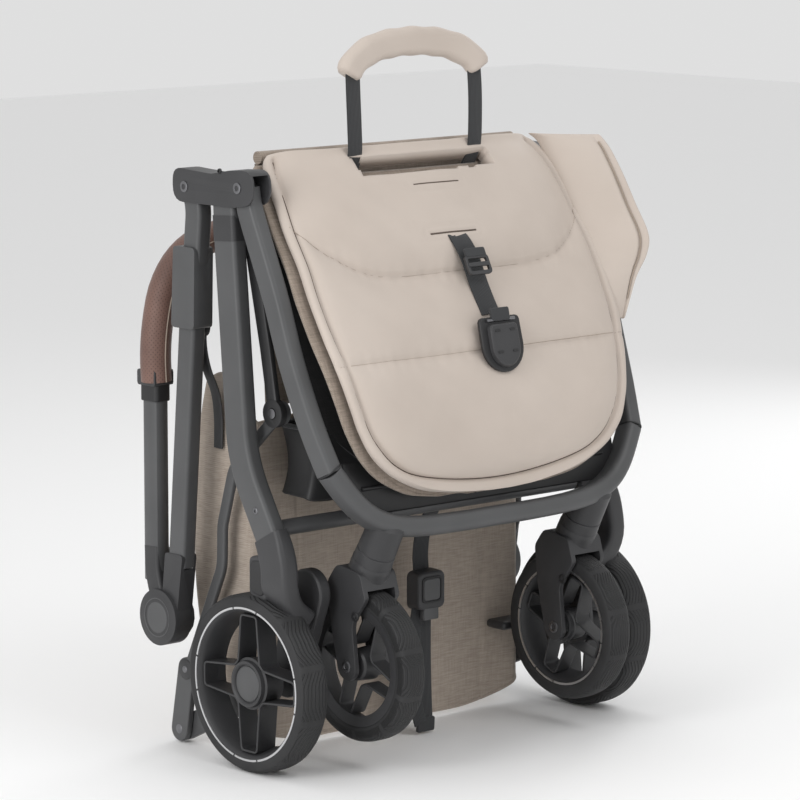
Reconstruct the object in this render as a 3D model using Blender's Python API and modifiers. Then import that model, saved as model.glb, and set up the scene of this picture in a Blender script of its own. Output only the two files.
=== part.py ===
"""Compact folding stroller, standing folded.

Metres, +Z up. The folded stroller faces -Y (the seat cushion is on that side) and X runs across its
width. The origin is on the floor, at the centre of the folded outline. Helper lengths are written in
millimetres from the rear axle line and shifted by AXLE_Y when the pieces are placed.
"""

import math

import bmesh
import bpy
from mathutils import Matrix, Vector

# ---------------------------------------------------------------- driving dimensions (mm)
AXLE_Y = -13.7            # rear axle line, measured from the origin
REAR_WHEEL_R = 89.0
REAR_WHEEL_W = 33.6
REAR_WHEEL_X = 224.0
CASTER_R = 77.0
CASTER_W = 28.8
CASTER_X = 141.8
CASTER_Y = -64.7
CASTER_Z = 106.2
STEM_TOP = (-96.0, 245.0)     # y, z of the swivel axis at the frame
STEM_END = (-68.4, 194.7)     # y, z of the swivel axis at the fork
STEM_R = 22.5
LEG_X = 224.5                 # centre of the side tubes
TUBE_W = 18.0                 # across X
TUBE_D = 24.0                 # fore and aft
REAR_LEG_D = 32.0
FRONT_PIVOT = (12.1, 575.6)
PUSH_PIVOT = (92.6, 571.5)
KNOB = (137.0, 135.0)
KNOB_R = 28.5
HANDLE_Y = 153.5
SEAT_HALF = 199.5
GAP = 0.3

# ---------------------------------------------------------------- scene
for block in list(bpy.data.objects):
    bpy.data.objects.remove(block)

PARTS = bpy.data.collections.new("folding_stroller")
CUTTERS = bpy.data.collections.new("cutters")
bpy.context.scene.collection.children.link(PARTS)
bpy.context.scene.collection.children.link(CUTTERS)
CUTTERS.hide_render = True

MATERIALS = {}


def material(name, colour, roughness, metallic=0.0):
    mat = bpy.data.materials.new(name)
    mat.use_nodes = True
    shader = mat.node_tree.nodes["Principled BSDF"]
    shader.inputs["Base Color"].default_value = (*colour, 1.0)
    shader.inputs["Roughness"].default_value = roughness
    shader.inputs["Metallic"].default_value = metallic
    MATERIALS[name] = mat
    return mat


material("frame_grey", (0.055, 0.056, 0.058), 0.42, 0.3)
material("plastic_dark", (0.03, 0.03, 0.032), 0.5)
material("rubber_tyre", (0.02, 0.02, 0.021), 0.75)
material("pad_leather", (0.60, 0.51, 0.43), 0.6)
material("woven_taupe", (0.33, 0.28, 0.23), 0.9)
material("webbing_black", (0.02, 0.02, 0.022), 0.85)
material("grip_brown", (0.13, 0.07, 0.055), 0.6)
material("rivet_steel", (0.45, 0.45, 0.46), 0.3, 1.0)
material("fabric_black", (0.015, 0.015, 0.016), 0.9)


def mm(*values):
    return Vector(v / 1000.0 for v in values)


def at(x, y, z):
    """A point given in mm from the rear axle line, in metres from the origin."""
    return Vector((x / 1000.0, (y + AXLE_Y) / 1000.0, z / 1000.0))


def smooth(mesh, angle=35.0):
    mesh.shade_smooth()
    mesh.set_sharp_from_angle(angle=math.radians(angle))


def add(name, mesh, mat, collection=PARTS, angle=35.0):
    obj = bpy.data.objects.new(name, mesh)
    collection.objects.link(obj)
    if mat:
        mesh.materials.append(MATERIALS[mat])
        smooth(mesh, angle)
    if collection is CUTTERS:
        obj.hide_render = True
        obj.display_type = "WIRE"
    return obj


def empty(name, location):
    obj = bpy.data.objects.new(name, None)
    PARTS.objects.link(obj)
    obj.location = location
    return obj


def from_bmesh(bm):
    bmesh.ops.recalc_face_normals(bm, faces=bm.faces)
    mesh = bpy.data.meshes.new("shape")
    bm.to_mesh(mesh)
    bm.free()
    return mesh


def cube(bm, size, centre, rotate=None):
    """A box of the given size (mm) centred at a point (m)."""
    matrix = Matrix.Translation(centre)
    if rotate is not None:
        matrix = matrix @ rotate
    matrix = matrix @ Matrix.Diagonal((*[s / 1000.0 for s in size], 1.0))
    return bmesh.ops.create_cube(bm, size=1.0, matrix=matrix)["verts"]


def cylinder(bm, radius, length, centre, axis=(1, 0, 0), segments=32, radius_end=None):
    turn = Vector((0, 0, 1)).rotation_difference(Vector(axis).normalized()).to_matrix().to_4x4()
    return bmesh.ops.create_cone(
        bm,
        cap_ends=True,
        segments=segments,
        radius1=radius / 1000.0,
        radius2=(radius if radius_end is None else radius_end) / 1000.0,
        depth=length / 1000.0,
        matrix=Matrix.Translation(centre) @ turn,
    )["verts"]


def evaluated(obj):
    """The object's shape with its modifiers, as a new mesh in world space."""
    bpy.context.view_layer.update()
    graph = bpy.context.evaluated_depsgraph_get()
    mesh = bpy.data.meshes.new_from_object(obj.evaluated_get(graph))
    mesh.transform(obj.matrix_world)
    return mesh


def freeze(obj, weld=False):
    """Turns a curve, or an object with modifiers, into a plain mesh object of the same name."""
    mesh = evaluated(obj)
    name = obj.name
    mats = [m for m in obj.data.materials if m] if hasattr(obj.data, "materials") else []
    collections = list(obj.users_collection)
    bpy.data.objects.remove(obj)
    if weld:
        bm = bmesh.new()
        bm.from_mesh(mesh)
        bmesh.ops.remove_doubles(bm, verts=bm.verts, dist=0.00001)
        bmesh.ops.recalc_face_normals(bm, faces=bm.faces)
        bm.to_mesh(mesh)
        bm.free()
    new = bpy.data.objects.new(name, mesh)
    mesh.materials.clear()
    for m in mats[:1]:
        mesh.materials.append(m)
    for c in collections:
        c.objects.link(new)
    smooth(mesh)
    return new


def boolean(obj, other, operation="DIFFERENCE"):
    mod = obj.modifiers.new("cut" if operation == "DIFFERENCE" else "join", "BOOLEAN")
    mod.operation = operation
    mod.solver = "EXACT"
    mod.object = other
    return mod


def join(obj, others):
    """Boolean union of the others into obj; the others are removed."""
    for other in others:
        boolean(obj, other, "UNION")
        obj = freeze(obj)
        bpy.data.objects.remove(other)
    return obj


def cut(obj, cutters):
    for cutter in cutters:
        boolean(obj, cutter)
    obj = freeze(obj)
    for cutter in cutters:
        bpy.data.objects.remove(cutter)
    return obj


def place_origin(obj, point):
    """Moves an object's origin to a point, such as its joint's axis, without moving the shape."""
    obj.data.transform(Matrix.Translation(-point))
    obj.location = point
    return obj


def bevel(obj, width, segments=2, angle=40.0):
    mod = obj.modifiers.new("edge", "BEVEL")
    mod.width = width / 1000.0
    mod.segments = segments
    mod.limit_method = "ANGLE"
    mod.angle_limit = math.radians(angle)
    return mod


def rounded_section(name, width, depth, radius, corner=2):
    """A closed rounded rectangle, used as a tube's section."""
    points = []
    for cx, cy, start in ((1, 1, 0), (-1, 1, 90), (-1, -1, 180), (1, -1, 270)):
        for k in range(corner + 1):
            a = math.radians(start + 90.0 * k / corner)
            points.append(
                (cx * (width / 2 - radius) + radius * math.cos(a),
                 cy * (depth / 2 - radius) + radius * math.sin(a))
            )
    curve = bpy.data.curves.new(name, "CURVE")
    curve.dimensions = "2D"
    spline = curve.splines.new("POLY")
    spline.points.add(len(points) - 1)
    for p, (x, y) in zip(spline.points, points):
        p.co = (x / 1000.0, y / 1000.0, 0.0, 1.0)
    spline.use_cyclic_u = True
    return add(name, curve, None, CUTTERS)


def smooth_path(points, step):
    """Points along a Catmull-Rom curve through the given points, about step apart."""
    pts = [Vector(p) for p in points]
    pts = [pts[0] * 2 - pts[1]] + pts + [pts[-1] * 2 - pts[-2]]
    out = []
    for i in range(1, len(pts) - 2):
        p0, p1, p2, p3 = pts[i - 1:i + 3]
        n = max(1, round((p2 - p1).length / step))
        for k in range(n):
            t = k / n
            out.append(
                0.5 * ((2 * p1) + (p2 - p0) * t + (2 * p0 - 5 * p1 + 4 * p2 - p3) * t * t
                       + (3 * p1 - p0 - 3 * p2 + p3) * t * t * t)
            )
    out.append(pts[-2])
    return out


def fillet(points, radii, steps=6):
    """A polyline with its inner corners rounded to the given radii (mm)."""
    pts = [Vector(p) for p in points]
    out = [pts[0]]
    for i in range(1, len(pts) - 1):
        r = radii[i - 1]
        a = (pts[i - 1] - pts[i]).normalized()
        b = (pts[i + 1] - pts[i]).normalized()
        half = a.angle(b) / 2
        if r <= 0 or half > math.radians(89.5):
            out.append(pts[i])
            continue
        reach = min(r / math.tan(half), 0.48 * (pts[i - 1] - pts[i]).length,
                    0.48 * (pts[i + 1] - pts[i]).length)
        start, end = pts[i] + a * reach, pts[i] + b * reach
        for k in range(steps + 1):
            t = k / steps
            out.append(start * (1 - t) ** 2 + pts[i] * 2 * t * (1 - t) + end * t * t)
    out.append(pts[-1])
    return out


def tube(name, points, section, up, mat, collection=PARTS):
    """A tube of the given section along points (mm from the axle line); the section's second axis is up."""
    up = Vector(up).normalized()
    side = up.orthogonal().normalized()
    frame = Matrix((side, up.cross(side), up)).transposed()
    world = [at(*p) for p in points]
    origin = world[0].copy()
    curve = bpy.data.curves.new(name, "CURVE")
    curve.dimensions = "3D"
    curve.twist_mode = "Z_UP"
    curve.bevel_mode = "OBJECT"
    curve.bevel_object = section
    curve.use_fill_caps = True
    spline = curve.splines.new("POLY")
    spline.points.add(len(world) - 1)
    inverse = frame.transposed()
    for p, w in zip(spline.points, world):
        p.co = (*(inverse @ (w - origin)), 1.0)
    obj = bpy.data.objects.new(name, curve)
    collection.objects.link(obj)
    obj.matrix_world = Matrix.Translation(origin) @ frame.to_4x4()
    curve.materials.append(MATERIALS[mat])
    return freeze(obj, weld=True)


def round_tube(name, points, radius, mat, resolution=3, collection=PARTS):
    curve = bpy.data.curves.new(name, "CURVE")
    curve.dimensions = "3D"
    curve.bevel_depth = radius / 1000.0
    curve.bevel_resolution = resolution
    curve.use_fill_caps = True
    spline = curve.splines.new("POLY")
    spline.points.add(len(points) - 1)
    for p, q in zip(spline.points, points):
        p.co = (*at(*q), 1.0)
    obj = bpy.data.objects.new(name, curve)
    collection.objects.link(obj)
    curve.materials.append(MATERIALS[mat])
    return freeze(obj, weld=True)


def plate(name, outline, thickness, x, mat, hole=None, collection=PARTS):
    """A flat piece in the YZ plane, its outline in (y, z) mm, centred at x."""
    curve = bpy.data.curves.new(name, "CURVE")
    curve.dimensions = "2D"
    curve.fill_mode = "BOTH"
    curve.extrude = thickness / 2000.0
    spline = curve.splines.new("POLY")
    spline.points.add(len(outline) - 1)
    for p, (y, z) in zip(spline.points, outline):
        p.co = (y / 1000.0, z / 1000.0, 0.0, 1.0)
    spline.use_cyclic_u = True
    obj = bpy.data.objects.new(name, curve)
    collection.objects.link(obj)
    # local x, y, z become world y, z, x
    obj.matrix_world = Matrix.Translation(at(x, 0, 0)) @ Matrix(
        ((0, 0, 1, 0), (1, 0, 0, 0), (0, 1, 0, 0), (0, 0, 0, 1)))
    if mat:
        curve.materials.append(MATERIALS[mat])
    obj = freeze(obj, weld=True)
    if collection is CUTTERS:
        obj.hide_render = True
        obj.display_type = "WIRE"
    return obj


def rounded_outline(points, radius, steps=4):
    """A closed outline with every corner rounded."""
    pts = [Vector((*p, 0)) for p in points]
    n = len(pts)
    out = []
    for i in range(n):
        r = radius[i] if isinstance(radius, (list, tuple)) else radius
        a = (pts[i - 1] - pts[i]).normalized()
        b = (pts[(i + 1) % n] - pts[i]).normalized()
        half = a.angle(b) / 2
        if r <= 0 or half > math.radians(88):
            out.append((pts[i].x, pts[i].y))
            continue
        reach = min(r / math.tan(half), 0.48 * (pts[i - 1] - pts[i]).length,
                    0.48 * (pts[(i + 1) % n] - pts[i]).length)
        start, end = pts[i] + a * reach, pts[i] + b * reach
        for k in range(steps + 1):
            t = k / steps
            p = start * (1 - t) ** 2 + pts[i] * 2 * t * (1 - t) + end * t * t
            out.append((p.x, p.y))
    return out


def capsule_outline(a, b, ra, rb, steps=8):
    """Outline of a link with round ends of radii ra and rb, from a to b in the YZ plane."""
    ax, ay = a
    bx, by = b
    base = math.atan2(by - ay, bx - ax)
    points = []
    for k in range(steps + 1):
        t = base + math.pi / 2 + math.pi * k / steps
        points.append((ax + ra * math.cos(t), ay + ra * math.sin(t)))
    for k in range(steps + 1):
        t = base - math.pi / 2 + math.pi * k / steps
        points.append((bx + rb * math.cos(t), by + rb * math.sin(t)))
    return points


def turned(name, profile, centre, mat, steps=36, flip=False, collection=PARTS):
    """A solid turned about the X axis. The profile is (radius, x) in mm, top to bottom on its outer side."""
    mesh = bpy.data.meshes.new(name)
    bm = bmesh.new()
    verts = [bm.verts.new((r / 1000.0, 0.0, h / 1000.0)) for r, h in profile]
    for a, b in zip(verts, verts[1:]):
        bm.edges.new((a, b))
    if profile[0] != profile[-1] and not (profile[0][0] == 0 and profile[-1][0] == 0):
        bm.edges.new((verts[-1], verts[0]))
    bm.to_mesh(mesh)
    bm.free()
    obj = bpy.data.objects.new(name, mesh)
    collection.objects.link(obj)
    mod = obj.modifiers.new("turn", "SCREW")
    mod.steps = mod.render_steps = steps
    mod.use_merge_vertices = True
    mod.merge_threshold = 0.0001
    mod.use_smooth_shade = True
    side = -1.0 if flip else 1.0
    obj.matrix_world = Matrix.Translation(at(*centre)) @ Matrix(
        ((0, 0, side, 0), (side, 0, 0, 0), (0, 1, 0, 0), (0, 0, 0, 1)))
    mesh.materials.append(MATERIALS[mat])
    obj = freeze(obj, weld=True)
    if collection is CUTTERS:
        obj.hide_render = True
        obj.display_type = "WIRE"
    return obj


def block(name, size, centre, mat, round_edges=0.0, segments=2, rotate=None, collection=PARTS):
    bm = bmesh.new()
    cube(bm, size, Vector((0, 0, 0)))
    obj = add(name, from_bmesh(bm), mat if mat else None, collection)
    obj.matrix_world = Matrix.Translation(at(*centre)) @ (rotate if rotate is not None else Matrix.Identity(4))
    if round_edges:
        bevel(obj, round_edges, segments)
        obj = freeze(obj)
        if collection is CUTTERS:
            obj.hide_render = True
            obj.display_type = "WIRE"
    return obj


def rod(name, radius, x0, x1, y, z, mat, segments=24, collection=PARTS):
    bm = bmesh.new()
    cylinder(bm, radius, abs(x1 - x0), Vector((0, 0, 0)), (1, 0, 0), segments)
    obj = add(name, from_bmesh(bm), mat if mat else None, collection)
    obj.location = at((x0 + x1) / 2, y, z)
    return obj


def eyed_end(obj, s, pivot):
    """Gives a tube a round end with a hole for its pivot pin."""
    disc = rod("disc", 11.95, s * LEG_X - 9.05, s * LEG_X + 9.05, *pivot, "frame_grey", 28)
    obj = join(obj, [disc])
    hole = rod("hole", 4.3, s * LEG_X - 15, s * LEG_X + 15, *pivot, None, 20, collection=CUTTERS)
    obj = cut(obj, [hole])
    return place_origin(obj, at(s * LEG_X, *pivot))


# ---------------------------------------------------------------- joint empties
hub_front = empty("axis_front_frame", at(0, *FRONT_PIVOT))
hub_rear = empty("axis_push_frame", at(0, *PUSH_PIVOT))
knob_axis = empty("axis_handle", at(0, *KNOB))

SIDES = (("left", -1), ("right", 1))

# ---------------------------------------------------------------- hub brackets and rear frame
section_leg = rounded_section("section_leg", TUBE_D, TUBE_W, 6.0)
section_rear = rounded_section("section_rear_leg", REAR_LEG_D, TUBE_W, 6.5)

BRACKET_OUTLINE = rounded_outline(
    [(111, 556), (111, 590), (84, 588.5), (52, 587), (24, 592), (-11, 594), (-11, 560), (20, 556)],
    [17, 16, 0, 0, 0, 16, 17, 0], steps=5)
REAR_LEG_PATH = fillet(
    [(0, 40.5, 553), (0, 20, 307), (0, -33, 218)], [120], steps=8)

for side, s in SIDES:
    # the bracket is a deep channel, open underneath, that holds three tube ends
    bracket = plate(f"hub_bracket_{side}", BRACKET_OUTLINE, 24.0, s * LEG_X, "frame_grey")
    bevel(bracket, 2.0, 1)
    bracket = freeze(bracket)
    slots = [
        block("slot_a", (TUBE_W + 1.2, 93, 60), (s * LEG_X, 104.5, PUSH_PIVOT[1] + 12.7 - 30), None, collection=CUTTERS),
        block("slot_b", (TUBE_W + 1.2, 67, 60), (s * LEG_X, -7, FRONT_PIVOT[1] + 12.7 - 30), None, collection=CUTTERS),
        block("slot_c", (TUBE_W + 0.6, REAR_LEG_D + 0.6, 30), (s * LEG_X, 40.5, 553), None, collection=CUTTERS),
    ]
    bracket = cut(bracket, slots)
    pins = [rod("pin", 3.9, s * (LEG_X - 12.6), s * (LEG_X + 12.8), *pivot, "frame_grey", 20)
            for pivot in (FRONT_PIVOT, PUSH_PIVOT)]
    bracket = join(bracket, pins)
    place_origin(bracket, at(s * LEG_X, *FRONT_PIVOT))

    leg = tube(f"rear_leg_{side}", [(s * LEG_X, p.y, p.z) for p in REAR_LEG_PATH], section_rear, (1, 0, 0), "frame_grey")


# rear wheel housings: they step inboard of the wheels and carry the axle
HOUSING_OUTLINE = rounded_outline(
    [(-44, 214), (-8, 222), (26, 196), (24, 120), (14, 74), (-14, 74), (-26, 120), (-46, 180)],
    [6, 8, 24, 20, 12, 12, 20, 20], steps=4)
for side, s in SIDES:
    housing = plate(f"rear_housing_{side}", HOUSING_OUTLINE, 16.0, s * 182.0, "plastic_dark")
    # the shoulder reaches out over the wheel to the leg's end
    shoulder = plate("shoulder", rounded_outline([(-48, 184), (-50, 214), (-18, 226), (0, 216), (2, 186)], 6, 3),
                     59.0, s * 204.2, "plastic_dark")
    housing = join(housing, [shoulder])
    bevel(housing, 1.6, 1)
    housing = freeze(housing)
    # the socket that takes the leg's end
    socket = tube("socket", [(s * LEG_X, -14.0, 250.0), (s * LEG_X, -36.5, 211.0)],
                  rounded_section("section_socket", REAR_LEG_D + 0.6, TUBE_W + 0.6, 6.8), (1, 0, 0), "plastic_dark", CUTTERS)
    bore = rod("bore", 7.3, s * 170, s * 200, 0, REAR_WHEEL_R, None, collection=CUTTERS)
    bpy.data.objects.remove(bore)
    housing = cut(housing, [socket])
    housing = join(housing, [rod("stub", 7.0, s * 175.5, s * 236.0, 0, REAR_WHEEL_R, "plastic_dark", 24)])

rod("rear_crossbar", 8.0, -215.2, 215.2, -16.5, 243, "frame_grey", 24)


# ---------------------------------------------------------------- wheels
def wheel(tag, radius, width, ring, centre, flip, bore, spoke_in):
    """A tyre, a dished rim with four looped spokes, and its hub."""
    half = width / 2
    tyre = turned(
        f"{tag}_tyre",
        [(ring + 1.0, half - 1.5), (ring + 5, half), (radius - 7, half - 1.0), (radius - 1.8, half - 6),
         (radius, half - 11), (radius, -half + 11), (radius - 1.8, -half + 6), (radius - 7, -half + 1.0),
         (ring + 5, -half), (ring + 1.0, -half + 1.5), (ring - 2.0, -half + 6), (ring - 2.0, half - 6)],
        centre, "rubber_tyre", 36, flip)
    r_in = ring - 6.0
    rim = turned(
        f"{tag}_rim",
        [(ring + 0.6, half - 1.4), (ring - 2.4, half - 5.8), (ring - 2.4, -half + 5.8), (ring + 0.6, -half + 1.4),
         (r_in - 1.5, -half + 2.0), (r_in - 1.5, half - 2.5), (r_in + 3.0, half + 0.0)],
        centre, "plastic_dark", 36, flip)
    sign = -1.0 if flip else 1.0
    hub = turned("hub", [(bore, half - 2), (spoke_in, half - 3), (spoke_in, -half + 3), (bore, -half + 2)],
                 centre, "plastic_dark", 20, flip)
    spokes = []
    for k in range(4):
        a = math.radians(45 + 90 * k)
        for off in (-1, 1):
            mid_r = (spoke_in + r_in) / 2
            length = r_in - spoke_in + 1.5
            turn = Matrix.Rotation(a + off * math.radians(5), 4, "X")
            offset = turn @ Vector((0, off * (0.115 * ring) / 1000.0, mid_r / 1000.0))
            spokes.append(block("spoke", (width * 0.42, 0.10 * ring, length), (0, 0, 0), "plastic_dark"))
            spokes[-1].matrix_world = Matrix.Translation(
                at(centre[0] - sign * width * 0.06, centre[1], centre[2]) + offset) @ turn
    rim = join(rim, [hub] + spokes)
    return tyre, rim


for side, s in SIDES:
    centre = (s * REAR_WHEEL_X, 0, REAR_WHEEL_R)
    tyre, rim = wheel(f"rear_{side}", REAR_WHEEL_R, REAR_WHEEL_W, 75.7, centre, s < 0, 7.3, 26.0)
    place_origin(rim, at(*centre))
    place_origin(tyre, at(*centre))
    cap = turned("cap", [(0, 16.4), (19, 16.4), (21.5, 14.5), (21.5, 12.5), (0, 12.5)], centre, "plastic_dark", 32, s < 0)
    rim = bpy.data.objects[f"rear_{side}_rim"]
    rim = join(rim, [cap])
    place_origin(rim, Vector((0, 0, 0)))

for side, s in SIDES:
    centre = (s * CASTER_X, CASTER_Y, CASTER_Z)
    tyre, rim = wheel(f"front_{side}", CASTER_R, CASTER_W, 60.7, centre, s < 0, 4.3, 17.0)
    place_origin(rim, at(*centre))
    place_origin(tyre, at(*centre))

# ---------------------------------------------------------------- casters: fork, bolt, stem
stem_top = Vector((0, *STEM_TOP))
stem_dir = (Vector((0, *STEM_END)) - stem_top).normalized()
for side, s in SIDES:
    cx = s * CASTER_X
    fork = plate(f"caster_fork_{side}", rounded_outline(
        [(-92, 176), (-84, 201), (-50, 207), (-36, 188), (-40, 150), (-52, 98), (-64.7, 90), (-78, 98), (-72, 150)],
        [8, 10, 12, 12, 30, 12, 12, 12, 20], 4), 46.0, cx, "plastic_dark")
    bevel(fork, 3.0, 1)
    fork = freeze(fork)
    bm = bmesh.new()
    cylinder(bm, 20.5, 22.0, at(cx, *(Vector(STEM_END) - Vector((stem_dir.y, stem_dir.z)) * 8.0)),
             (0, stem_dir.y, stem_dir.z), 32)
    neck = add("neck", from_bmesh(bm), "plastic_dark")
    fork = join(fork, [neck])
    well = turned("well", [(0, CASTER_W / 2 + 3.2), (CASTER_R + 4.5, CASTER_W / 2 + 3.2),
                           (CASTER_R + 4.5, -CASTER_W / 2 - 3.2), (0, -CASTER_W / 2 - 3.2)],
                  (cx, CASTER_Y, CASTER_Z), "plastic_dark", 40, False, CUTTERS)
    fork = cut(fork, [well])
    fork = join(fork, [rod("bolt", 4.0, cx - 23.4, cx + 23.4, CASTER_Y, CASTER_Z, "plastic_dark", 20)])
    place_origin(fork, at(cx, *STEM_TOP))

# ---------------------------------------------------------------- front frame
LEG_PATH = [FRONT_PIVOT, (8, 553), (-8, 512), (-26, 466), (-44, 410), (-67.5, 349), (-88, 300)]
U_PATH = [(-88, 300), (-98, 262), (-104, 238)]
# one tube per side from the hub to the low corner, then the bar across
for side, s in SIDES:
    pts = smooth_path([(s * LEG_X, y, z) for y, z in LEG_PATH], 30)
    leg = tube(f"front_leg_{side}", pts, section_leg, (1, 0, 0), "frame_grey")
    eyed_end(leg, s, FRONT_PIVOT)

bar_points = fillet(
    [(-LEG_X + 1, -90.2, 294.8), (-LEG_X + 22, -103, 240), (LEG_X - 22, -103, 240), (LEG_X - 1, -90.2, 294.8)],
    [70, 70], steps=9)
bar_section = rounded_section("section_bar", TUBE_W, TUBE_D, 6.0)
n_up = Vector((0, 0.23, 0.973)).normalized()
u_bar = tube("u_bar", bar_points, bar_section, (0, 0.973, -0.23), "frame_grey")

LEAN = Matrix.Rotation(math.radians(-13), 4, "X")
footrest = block("footrest_plate", (366, 6.0, 54), (0, -83, 285), "plastic_dark", 1.5, 2, rotate=LEAN)
rib = block("rib", (330, 5.0, 4.0), (0, -86.4, 285), "plastic_dark", 1.0, 1, rotate=LEAN)
footrest = join(footrest, [rib])

for side, s in SIDES:
    cx = s * CASTER_X
    bm = bmesh.new()
    cylinder(bm, 24.0, 33.0, at(cx, *(Vector(STEM_TOP) + Vector((stem_dir.y, stem_dir.z)) * 13.5)),
             (0, stem_dir.y, stem_dir.z), 28)
    socket = add(f"caster_socket_{side}", from_bmesh(bm), "plastic_dark")
    bevel(socket, 1.5, 1)
    socket = freeze(socket)
    saddle = block("saddle", (54, 30, 30), (cx, -101, 240), "plastic_dark", 5.0, 2,
                   rotate=Matrix.Rotation(math.radians(-13), 4, "X"))
    socket = join(socket, [saddle])
    channel = tube("channel", [(cx - 60, -103, 240), (cx + 60, -103, 240)],
                   rounded_section("section_channel", TUBE_W + 0.6, TUBE_D + 0.6, 6.2), (0, 0.973, -0.23),
                   "plastic_dark", CUTTERS)
    socket = cut(socket, [channel])

# ---------------------------------------------------------------- push frame
section_push = rounded_section("section_push", TUBE_D, TUBE_W, 6.0)
for side, s in SIDES:
    push = tube(f"push_tube_{side}", [(s * LEG_X, *PUSH_PIVOT), (s * LEG_X, 85, 550), (s * LEG_X, 97, 430), (s * LEG_X, 116.3, 189)],
                section_push, (1, 0, 0), "frame_grey")
    eyed_end(push, s, PUSH_PIVOT)
    knob = turned(f"knob_{side}", [(0, 15.5), (23, 15.5), (24.5, 14.6), (KNOB_R, 14.6), (KNOB_R, -6.5), (0, -6.5)],
                  (s * LEG_X, *KNOB), "plastic_dark", 40, s < 0)
    neck = plate("neck", rounded_outline([(103, 202), (130, 202), (136, 150), (112, 138)], 4, 3), 19.0,
                 s * (LEG_X + 0.5), "plastic_dark")
    knob = join(knob, [neck])
    plug = tube("plug", [(s * LEG_X, 114.2, 215.0), (s * LEG_X, 116.5, 187.0)],
                rounded_section("section_plug", TUBE_D + 0.6, TUBE_W + 0.6, 6.2), (1, 0, 0), "plastic_dark", CUTTERS)
    knob = cut(knob, [plug])
    place_origin(knob, at(s * LEG_X, *KNOB))
    clip = plate(f"clip_cover_{side}", rounded_outline(
        [(78, 512), (111, 512), (115, 431), (80, 431)], 5, 3), 24.0, s * LEG_X, "plastic_dark")
    tunnel = tube("tunnel", [(s * LEG_X, 85, 553), (s * LEG_X, 97, 430), (s * LEG_X, 116.3, 189)],
                  rounded_section("section_tunnel", TUBE_D + 0.6, TUBE_W + 0.6, 6.2), (1, 0, 0), "plastic_dark", CUTTERS)
    clip = cut(clip, [tunnel])

# ---------------------------------------------------------------- handle
for side, s in SIDES:
    hx = s * 226.0
    tube(f"handle_tube_{side}", [(hx, HANDLE_Y, 170), (hx, HANDLE_Y, 382)],
         rounded_section("section_handle", 24, 18, 6.0), (1, 0, 0), "frame_grey")
    # the hinge cheek sits inboard of the knob
    cheek = plate(f"handle_cheek_{side}", capsule_outline((*KNOB,), (HANDLE_Y, 186), 22, 15, 8), 6.2,
                  s * 212.0, "plastic_dark")
    bridge = block("bridge", (24, 21, 20), (s * 221, HANDLE_Y, 183), "plastic_dark")
    handle_tube = join(bpy.data.objects[f"handle_tube_{side}"], [bridge, cheek])
    place_origin(handle_tube, at(s * 226, *KNOB))
    collar = plate(f"grip_collar_{side}", rounded_outline(
        [(139.5, 368), (167.5, 368), (167.5, 384), (139.5, 384)], 3, 2), 24.0, hx, "plastic_dark")
    sleeve = tube("sleeve", [(hx, HANDLE_Y, 350), (hx, HANDLE_Y, 382.3)],
                  rounded_section("section_sleeve", 24.6, 18.6, 6.2), (1, 0, 0), "plastic_dark", CUTTERS)
    collar = cut(collar, [sleeve])

grip_path = fillet(
    [(-226, 151.5, 384.4), (-226, 151.5, 470), (-170, 151.5, 513), (0, 151.5, 516), (170, 151.5, 513),
     (226, 151.5, 470), (226, 151.5, 384.4)], [90, 70, 0, 70, 90], steps=7)
grip = round_tube("handle_grip", grip_path, 15.5, "grip_brown", 3)
fold_button = block("fold_button", (44, 7, 16), (0, 165.6, 516), "plastic_dark", 2.5, 2)
button_well = block("button_well", (44.8, 12.0, 16.8), (0, 165.4, 516), None, collection=CUTTERS)
grip = cut(grip, [button_well])

# ---------------------------------------------------------------- seat
SEAT_PIVOT = (-12.0, 356.0)
CREASE = (60.0, 597.0)
# edge stations from the crease down to the front lip: half width, y, z
EDGE = [(174.6, 37.2, 602.4), (183, 32, 595.4), (191, 16.5, 580.4), (194.6, -0.2, 558.6), (197.5, -18.3, 531.5),
        (197.5, -39, 501.7), (197.5, -53.4, 475.2), (197.5, -66, 451.8), (196.5, -76.5, 432.8),
        (194.5, -87.0, 412.7), (190.8, -94.9, 392.0), (186, -101.5, 369.0), (180, -106.5, 346), (167, -111, 320.6),
        (143, -113, 299), (108, -112, 283), (66, -110.5, 275), (20, -109, 271.5)]
BULGE = (-12.0, -12, -13, -13.5, -12, -7, -2, 0, 0, 0, 0, 0, 0, 0, 0, 0, 0, 0)


def shell(name, edges, bulge, widen, back, thickness, mat, columns=10, x_max=1000.0):
    """A padded panel: a grid across each station, thickened backwards from its front surface."""
    bm = bmesh.new()
    rows = []
    for (w, y, z), b in zip(edges, bulge):
        w = min(w + widen, x_max)
        row = []
        for k in range(columns + 1):
            u = -1 + 2 * k / columns
            dy = b * (1 - abs(u) ** 2.5)
            row.append(bm.verts.new(at(w * u, y + dy, z)))
        rows.append(row)
    for ra, rb in zip(rows, rows[1:]):
        for k in range(columns):
            bm.faces.new((ra[k], ra[k + 1], rb[k + 1], rb[k]))
    mesh = from_bmesh(bm)
    obj = add(name, mesh, mat)
    # the front of the panel faces -Y
    if sum(p.normal.y * p.area for p in mesh.polygons) > 0:
        mesh.flip_normals()
    # pushed back along its own normals, to lie behind another panel
    moved = [v.co - v.normal * (back / 1000.0) for v in mesh.vertices]
    for v, co in zip(mesh.vertices, moved):
        v.co = co
    mod = obj.modifiers.new("thickness", "SOLIDIFY")
    mod.thickness = thickness / 1000.0
    mod.offset = -1.0
    mod.use_even_offset = False
    return freeze(obj)


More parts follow.
